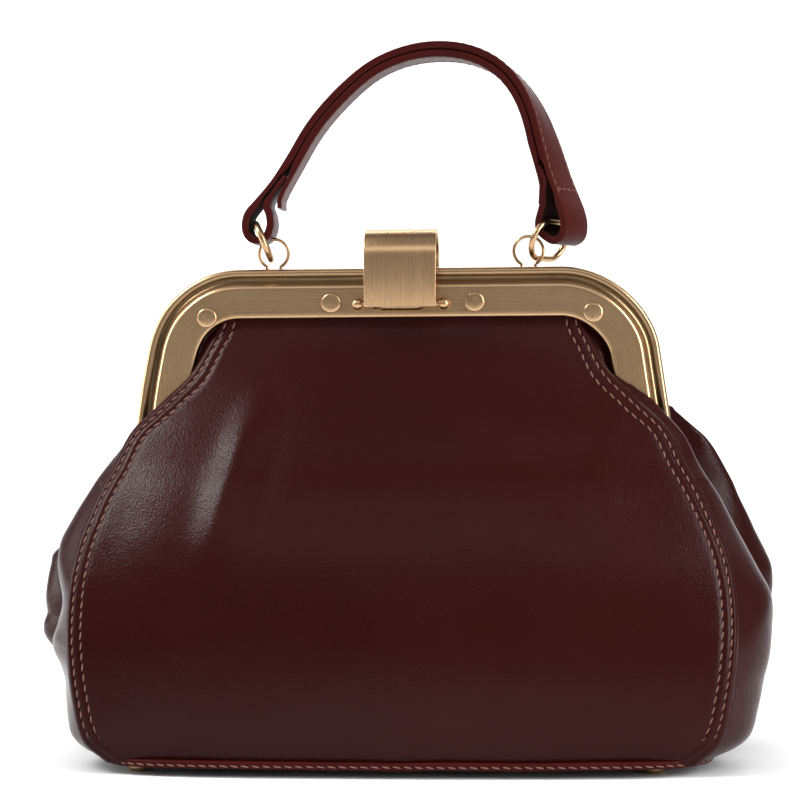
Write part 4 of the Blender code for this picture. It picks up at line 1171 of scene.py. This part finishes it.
handleSize = {
    "width": 16.0,
    "thickness": 1.6,
    "gap": 0.3,
    "span": 50.0,
    "foot": 191.0,
    "top": 248.7,
    "turnTop": 262.0,
    "turnFoot": 200.0,
    "turn": 29,
    "shiftLeft": 1.2,
    "shiftRight": (2.86, 3.67, 0),
    "eye": 5.0,
    "drop": 11.0,
    "stitchEdge": 1.6,
    "crossStitch": 198.5,
    "thicker": 0.9,
    "thickFrom": (204.2, 207.0),
    "thickOver": 4,
    "folded": 1.0,
    "foldFade": (198.0, -5),
    "still": 20,
    "fillerNarrower": 4,
    "smoothing": 40,
    "rounding": 0.55,
    "places": 121,
    "outerTrim": (8, 12),  # places left out at each end
    "fillerTrim": 4,
    "innerTrim": 8,
    "stitchTrim": (104, 96),
    "innerStitchTrim": (6, 6),
    "stitchLift": 0.02,
    "stitchSunk": 0.08,
}
handleShares = (
    (-0.824, 0.229), (-0.640, 0.505), (-0.424, 0.714), (-0.180, 0.886), (0.070, 0.972),
    (0.240, 0.998), (0.470, 0.982), (0.706, 0.886), (0.858, 0.722), (0.946, 0.515),
    (0.996, 0.277),
)
eyeLeftShares = (
    (0.98, -1.09), (-0.10, -0.50), (-0.98, -0.05), (-1.24, 0.36), (-1.06, 0.71),
    (-0.52, 0.89), (0.34, 0.80), (0.72, 0.42), (0.68, 0.04), (0.48, -0.33),
    (1.06, -0.80),
)
eyeRightShares = (
    (-0.56, -1.46), (-0.96, -0.95), (-1.40, -0.50), (-1.86, 0.00), (-2.05, 0.44),
    (-1.86, 0.83), (-1.14, 1.01), (-0.42, 0.86), (0.08, 0.64), (0.18, 0.34),
    (0.00, 0.05), (-0.26, -0.32), (-0.42, -0.65), (-0.46, -1.00),
)
innerLeftShares = ((1.30, -0.17), (1.46, -0.62))
innerRightShares = ((-0.10, -1.00), (-0.16, -0.60), (-0.10, -0.22))
h = handleSize


# The line moved to its left by this distance
def offsetLine(points, distance):
    moved = []
    for i, (x, z) in enumerate(points):
        before, after = points[max(i - 1, 0)], points[min(i + 1, len(points) - 1)]
        along = Vector((after[0] - before[0], after[1] - before[1])).normalized()
        moved.append((x - along.y * distance, z + along.x * distance))
    return moved


def strapEnd(across, shares):
    return [(across * (h["span"] - x * h["eye"]), h["foot"] - z * h["drop"]) for x, z in shares]


def smoothEnds(start, middle, end):
    steps = 8
    first = smoothPath(start + middle[:2], steps)[:-steps]
    last = smoothPath(middle[-2:] + end, steps)[steps:]
    return first + middle[1:-1] + last


# Shifts a point of the handle's legs to their rings and turns the right leg, more and more towards its foot
def turnEnd(point):
    share = riseFrom(h["turnTop"], h["turnFoot"] - h["turnTop"], point.z)
    share *= smoothStep(abs(point.x) / h["still"])
    if point.x < 0:
        return point + Vector((h["shiftLeft"] * share, 0, 0))
    middle = Vector((h["span"], 0, 0))
    turned = middle + Matrix.Rotation(-math.radians(h["turn"]) * share, 3, "Z") @ (point - middle)
    return turned + Vector(h["shiftRight"]) * share


def placed(point):
    turned = turnEnd(point)
    return Vector((turned.x, turned.y + loopSize["y"], turned.z))


# A strap along a line in the plane of the handle, with stitches on the faces that rows name. Along the arch
# it gets thicker towards the other layer: inwards for 1, outwards for -1
def strapPiece(name, line, node, width, rows, thicker=0):
    half, side = h["thickness"] / 2, width / 2
    corners = [(-half, -side, 1), (half, -side, 1), (half, side, 1), (-half, side, 1)]
    profile = roundedProfile(corners, h["rounding"])
    stations = flatStations([(x, 0, z) for x, z in line], (0, 1, 0))
    profiles = []
    for point, _, _ in stations:
        start = h["thickFrom"][0 if point.x < 0 else 1]
        more = h["thicker"] * riseFrom(start, h["thickOver"], point.z)
        if thicker > 0:
            more += h["folded"] * riseFrom(*h["foldFade"], point.z)
        profiles.append([(a - more * thicker if a * thicker < 0 else a, b) for a, b in profile])
    fleshSide = {j for j, (a, b) in enumerate(profile) if thicker > 0 and a < -half * 0.9}
    shape = bmesh.new()
    sweepShape(shape, stations, profiles, False, None, fleshSide)
    for vertex in shape.verts:
        vertex.co = placed(vertex.co) * mm
    piece = addPiece(name, shape, [strapLeather, flesh], "handle")
    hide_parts(node)
    if not rows:
        return
    shape = bmesh.new()
    for face, trim in rows:
        for edge in (-1, 1):
            row = offsetLine(line, face * (half + h["stitchLift"]))[trim[0] : len(line) - trim[1]]
            points = [placed(Vector((x, edge * (side - h["stitchEdge"]), z))) for x, z in row]

            def outwards(point, along, face=face):
                index = min(range(len(points)), key=lambda i: (points[i] - point).length)
                x, z = row[index]
                a, b = row[max(index - 1, 0)], row[min(index + 1, len(row) - 1)]
                way = Vector((a[1] - b[1], 0, b[0] - a[0])).normalized() * face
                base = Vector((x, edge * (side - h["stitchEdge"]), z))
                way = (placed(base + way) - placed(base)).normalized()
                return (way - along * way.dot(along)).normalized()

            addStitches(shape, points, outwards, handleStitches, -h["stitchSunk"])
        if face > 0:
            legs = range(len(line) // 2, len(line) - trim[1])
            place = min(legs, key=lambda i: abs(line[i][1] - h["crossStitch"]))
            x, z = offsetLine(line, half + h["stitchLift"])[place]
            points = [placed(Vector((x, y, z))) for y in (-side + h["stitchEdge"], 0, side - h["stitchEdge"])]
            across = (placed(Vector((x + 1, 0, z))) - placed(Vector((x, 0, z)))).normalized()
            addStitches(shape, points, lambda *_: across, handleStitches, -h["stitchSunk"])
    return addPiece(f"{name}_stitching", shape, [thread, holeShade], "handle")


handleStitches = {"pitch": 3.1, "length": 2.3, "radius": 0.22, "holeRadius": 0.22}
rise = h["top"] - h["foot"]
points = smoothPath([(x * h["span"], h["foot"] + z * rise) for x, z in handleShares], 12)
line = evenPath([(x, z, 0) for x, z in points], h["places"])
for _ in range(h["smoothing"]):
    line = line[:1] + [(a + b * 2 + c) / 4 for a, b, c in zip(line, line[1:], line[2:])] + line[-1:]
line = [(p.x, p.y) for p in line]
step = h["thickness"] + h["gap"]
left, right = h["outerTrim"]
outerLine = offsetLine(line, step)[left:-right]
leftEye = [line[0]] + strapEnd(-1, eyeLeftShares)[::-1]
rightEye = strapEnd(1, eyeRightShares) + [line[-1]]
path = smoothEnds(leftEye, outerLine, rightEye)
strapPiece("outer_strap", path, "handle_outer_strap", h["width"], [(1, h["stitchTrim"])], 1)
middle = line[h["fillerTrim"] : -h["fillerTrim"]]
strapPiece("strap_filler", middle, "handle_core", h["width"] - h["fillerNarrower"], [])
innerLine = offsetLine(line, -step)[h["innerTrim"] : -h["innerTrim"]]
path = smoothEnds(strapEnd(-1, innerLeftShares), innerLine, strapEnd(1, innerRightShares))
strapPiece("inner_strap", path, "handle_inner_strap", h["width"], [(-1, h["innerStitchTrim"])], -1)
print("stage: handle")


# The frame's own pieces that stay get their finish here
finishes = {"base_board": boardFibre}
for name in ("front_clamp_strip", "rear_clamp_strip", "clasp_bracket", "clasp_spring"):
    finishes[name] = plainBrass
for word in ("left", "right"):
    finishes[f"hinge_pin_{word}"] = plainBrass
for name, material in finishes.items():
    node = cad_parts[name]
    for slot in node.material_slots:
        slot.link = "OBJECT"
        slot.material = material
print("stage: finishes")


stageSize = {"wide": 6.0, "front": -3.2, "deep": 2.4, "high": 3.2, "bend": 0.6, "color": (0.90, 0.90, 0.90)}
shape = bmesh.new()
bend = stageSize["bend"]
profile = [(stageSize["front"], 0)] + arcPoints((stageSize["deep"] - bend, bend), bend, -math.pi / 2, 0, 16)
profile.append((stageSize["deep"], stageSize["high"]))
addGrid(shape, [[(-stageSize["wide"] / 2, y, z), (stageSize["wide"] / 2, y, z)] for y, z in profile])
mesh = bpy.data.meshes.new("floor")
shape.to_mesh(mesh)
shape.free()
mesh.shade_smooth()
mesh.materials.append(plainMaterial("floor_paper", stageSize["color"], 0.85, 3, 0.02, 0.2))
floor = bpy.data.objects.new("floor", mesh)
bpy.context.scene.collection.objects.link(floor)


def addLight(name, place, target, size, power, mirrored):
    data = bpy.data.lights.new(name, "AREA")
    data.shape = "RECTANGLE"
    data.size, data.size_y = size
    data.energy = power
    light = bpy.data.objects.new(name, data)
    light.location = place
    light.rotation_mode = "QUATERNION"
    light.rotation_quaternion = (Vector(target) - Vector(place)).to_track_quat("-Z", "Y")
    light.visible_glossy = mirrored
    bpy.context.scene.collection.objects.link(light)


# Place, target, size, power and whether the leather and the brass mirror it
lights = {
    "left_strip": ((-0.78, -0.32, 0.98), (-0.06, 0, 0.09), (0.14, 0.40), 9, True),
    "left_side": ((-0.98, 0.05, 0.35), (0, 0, 0.12), (0.3, 0.8), 6, True),
    "right_strip": ((0.85, -0.45, 0.50), (0, 0, 0.12), (0.25, 0.9), 10, True),
    "front_top_box": ((0, -0.95, 1.05), (0, 0, 0.15), (1.1, 0.30), 1.6, True),
    "top_box": ((0, 0.0, 1.15), (0, 0, 0.1), (1.3, 0.7), 8, False),
    "front_fill": ((0.1, -1.5, 0.9), (0, 0, 0.1), (1.2, 0.5), 2, False),
    "backdrop_light": ((0, 1.2, 1.7), (0, 2.3, 0.4), (2.6, 0.6), 60, True),
}
for name, plan in lights.items():
    addLight(name, *plan)

world = bpy.data.worlds.new("studio")
world.use_nodes = True
background = world.node_tree.nodes["Background"]
background.inputs["Color"].default_value = (0.95, 0.97, 1, 1)
background.inputs["Strength"].default_value = 0.35
bpy.context.scene.world = world

cameraSize = {
    "distance": 0.850,
    "height": 0.1314,
    "planeY": -0.005,
    "yaw": 4.26,
    "rise": -0.444,
    "roll": -0.41,
    "focal": 108.8,
}
data = bpy.data.cameras.new("camera")
data.sensor_width = 36
data.lens = cameraSize["focal"]
data.clip_start, data.clip_end = 0.02, 20
camera = bpy.data.objects.new("camera", data)
yaw = math.radians(cameraSize["yaw"])
camera.location = (
    math.sin(yaw) * cameraSize["distance"],
    cameraSize["planeY"] - math.cos(yaw) * cameraSize["distance"],
    cameraSize["height"],
)
roll = Matrix.Rotation(math.radians(cameraSize["roll"]), 3, "Z")
look = Matrix.Rotation(yaw, 3, "Z") @ Matrix.Rotation(math.radians(90 + cameraSize["rise"]), 3, "X") @ roll
camera.rotation_euler = look.to_euler()
bpy.context.scene.collection.objects.link(camera)
bpy.context.scene.camera = camera
bpy.context.scene.view_settings.view_transform = "Standard"
print("stage: light and camera")
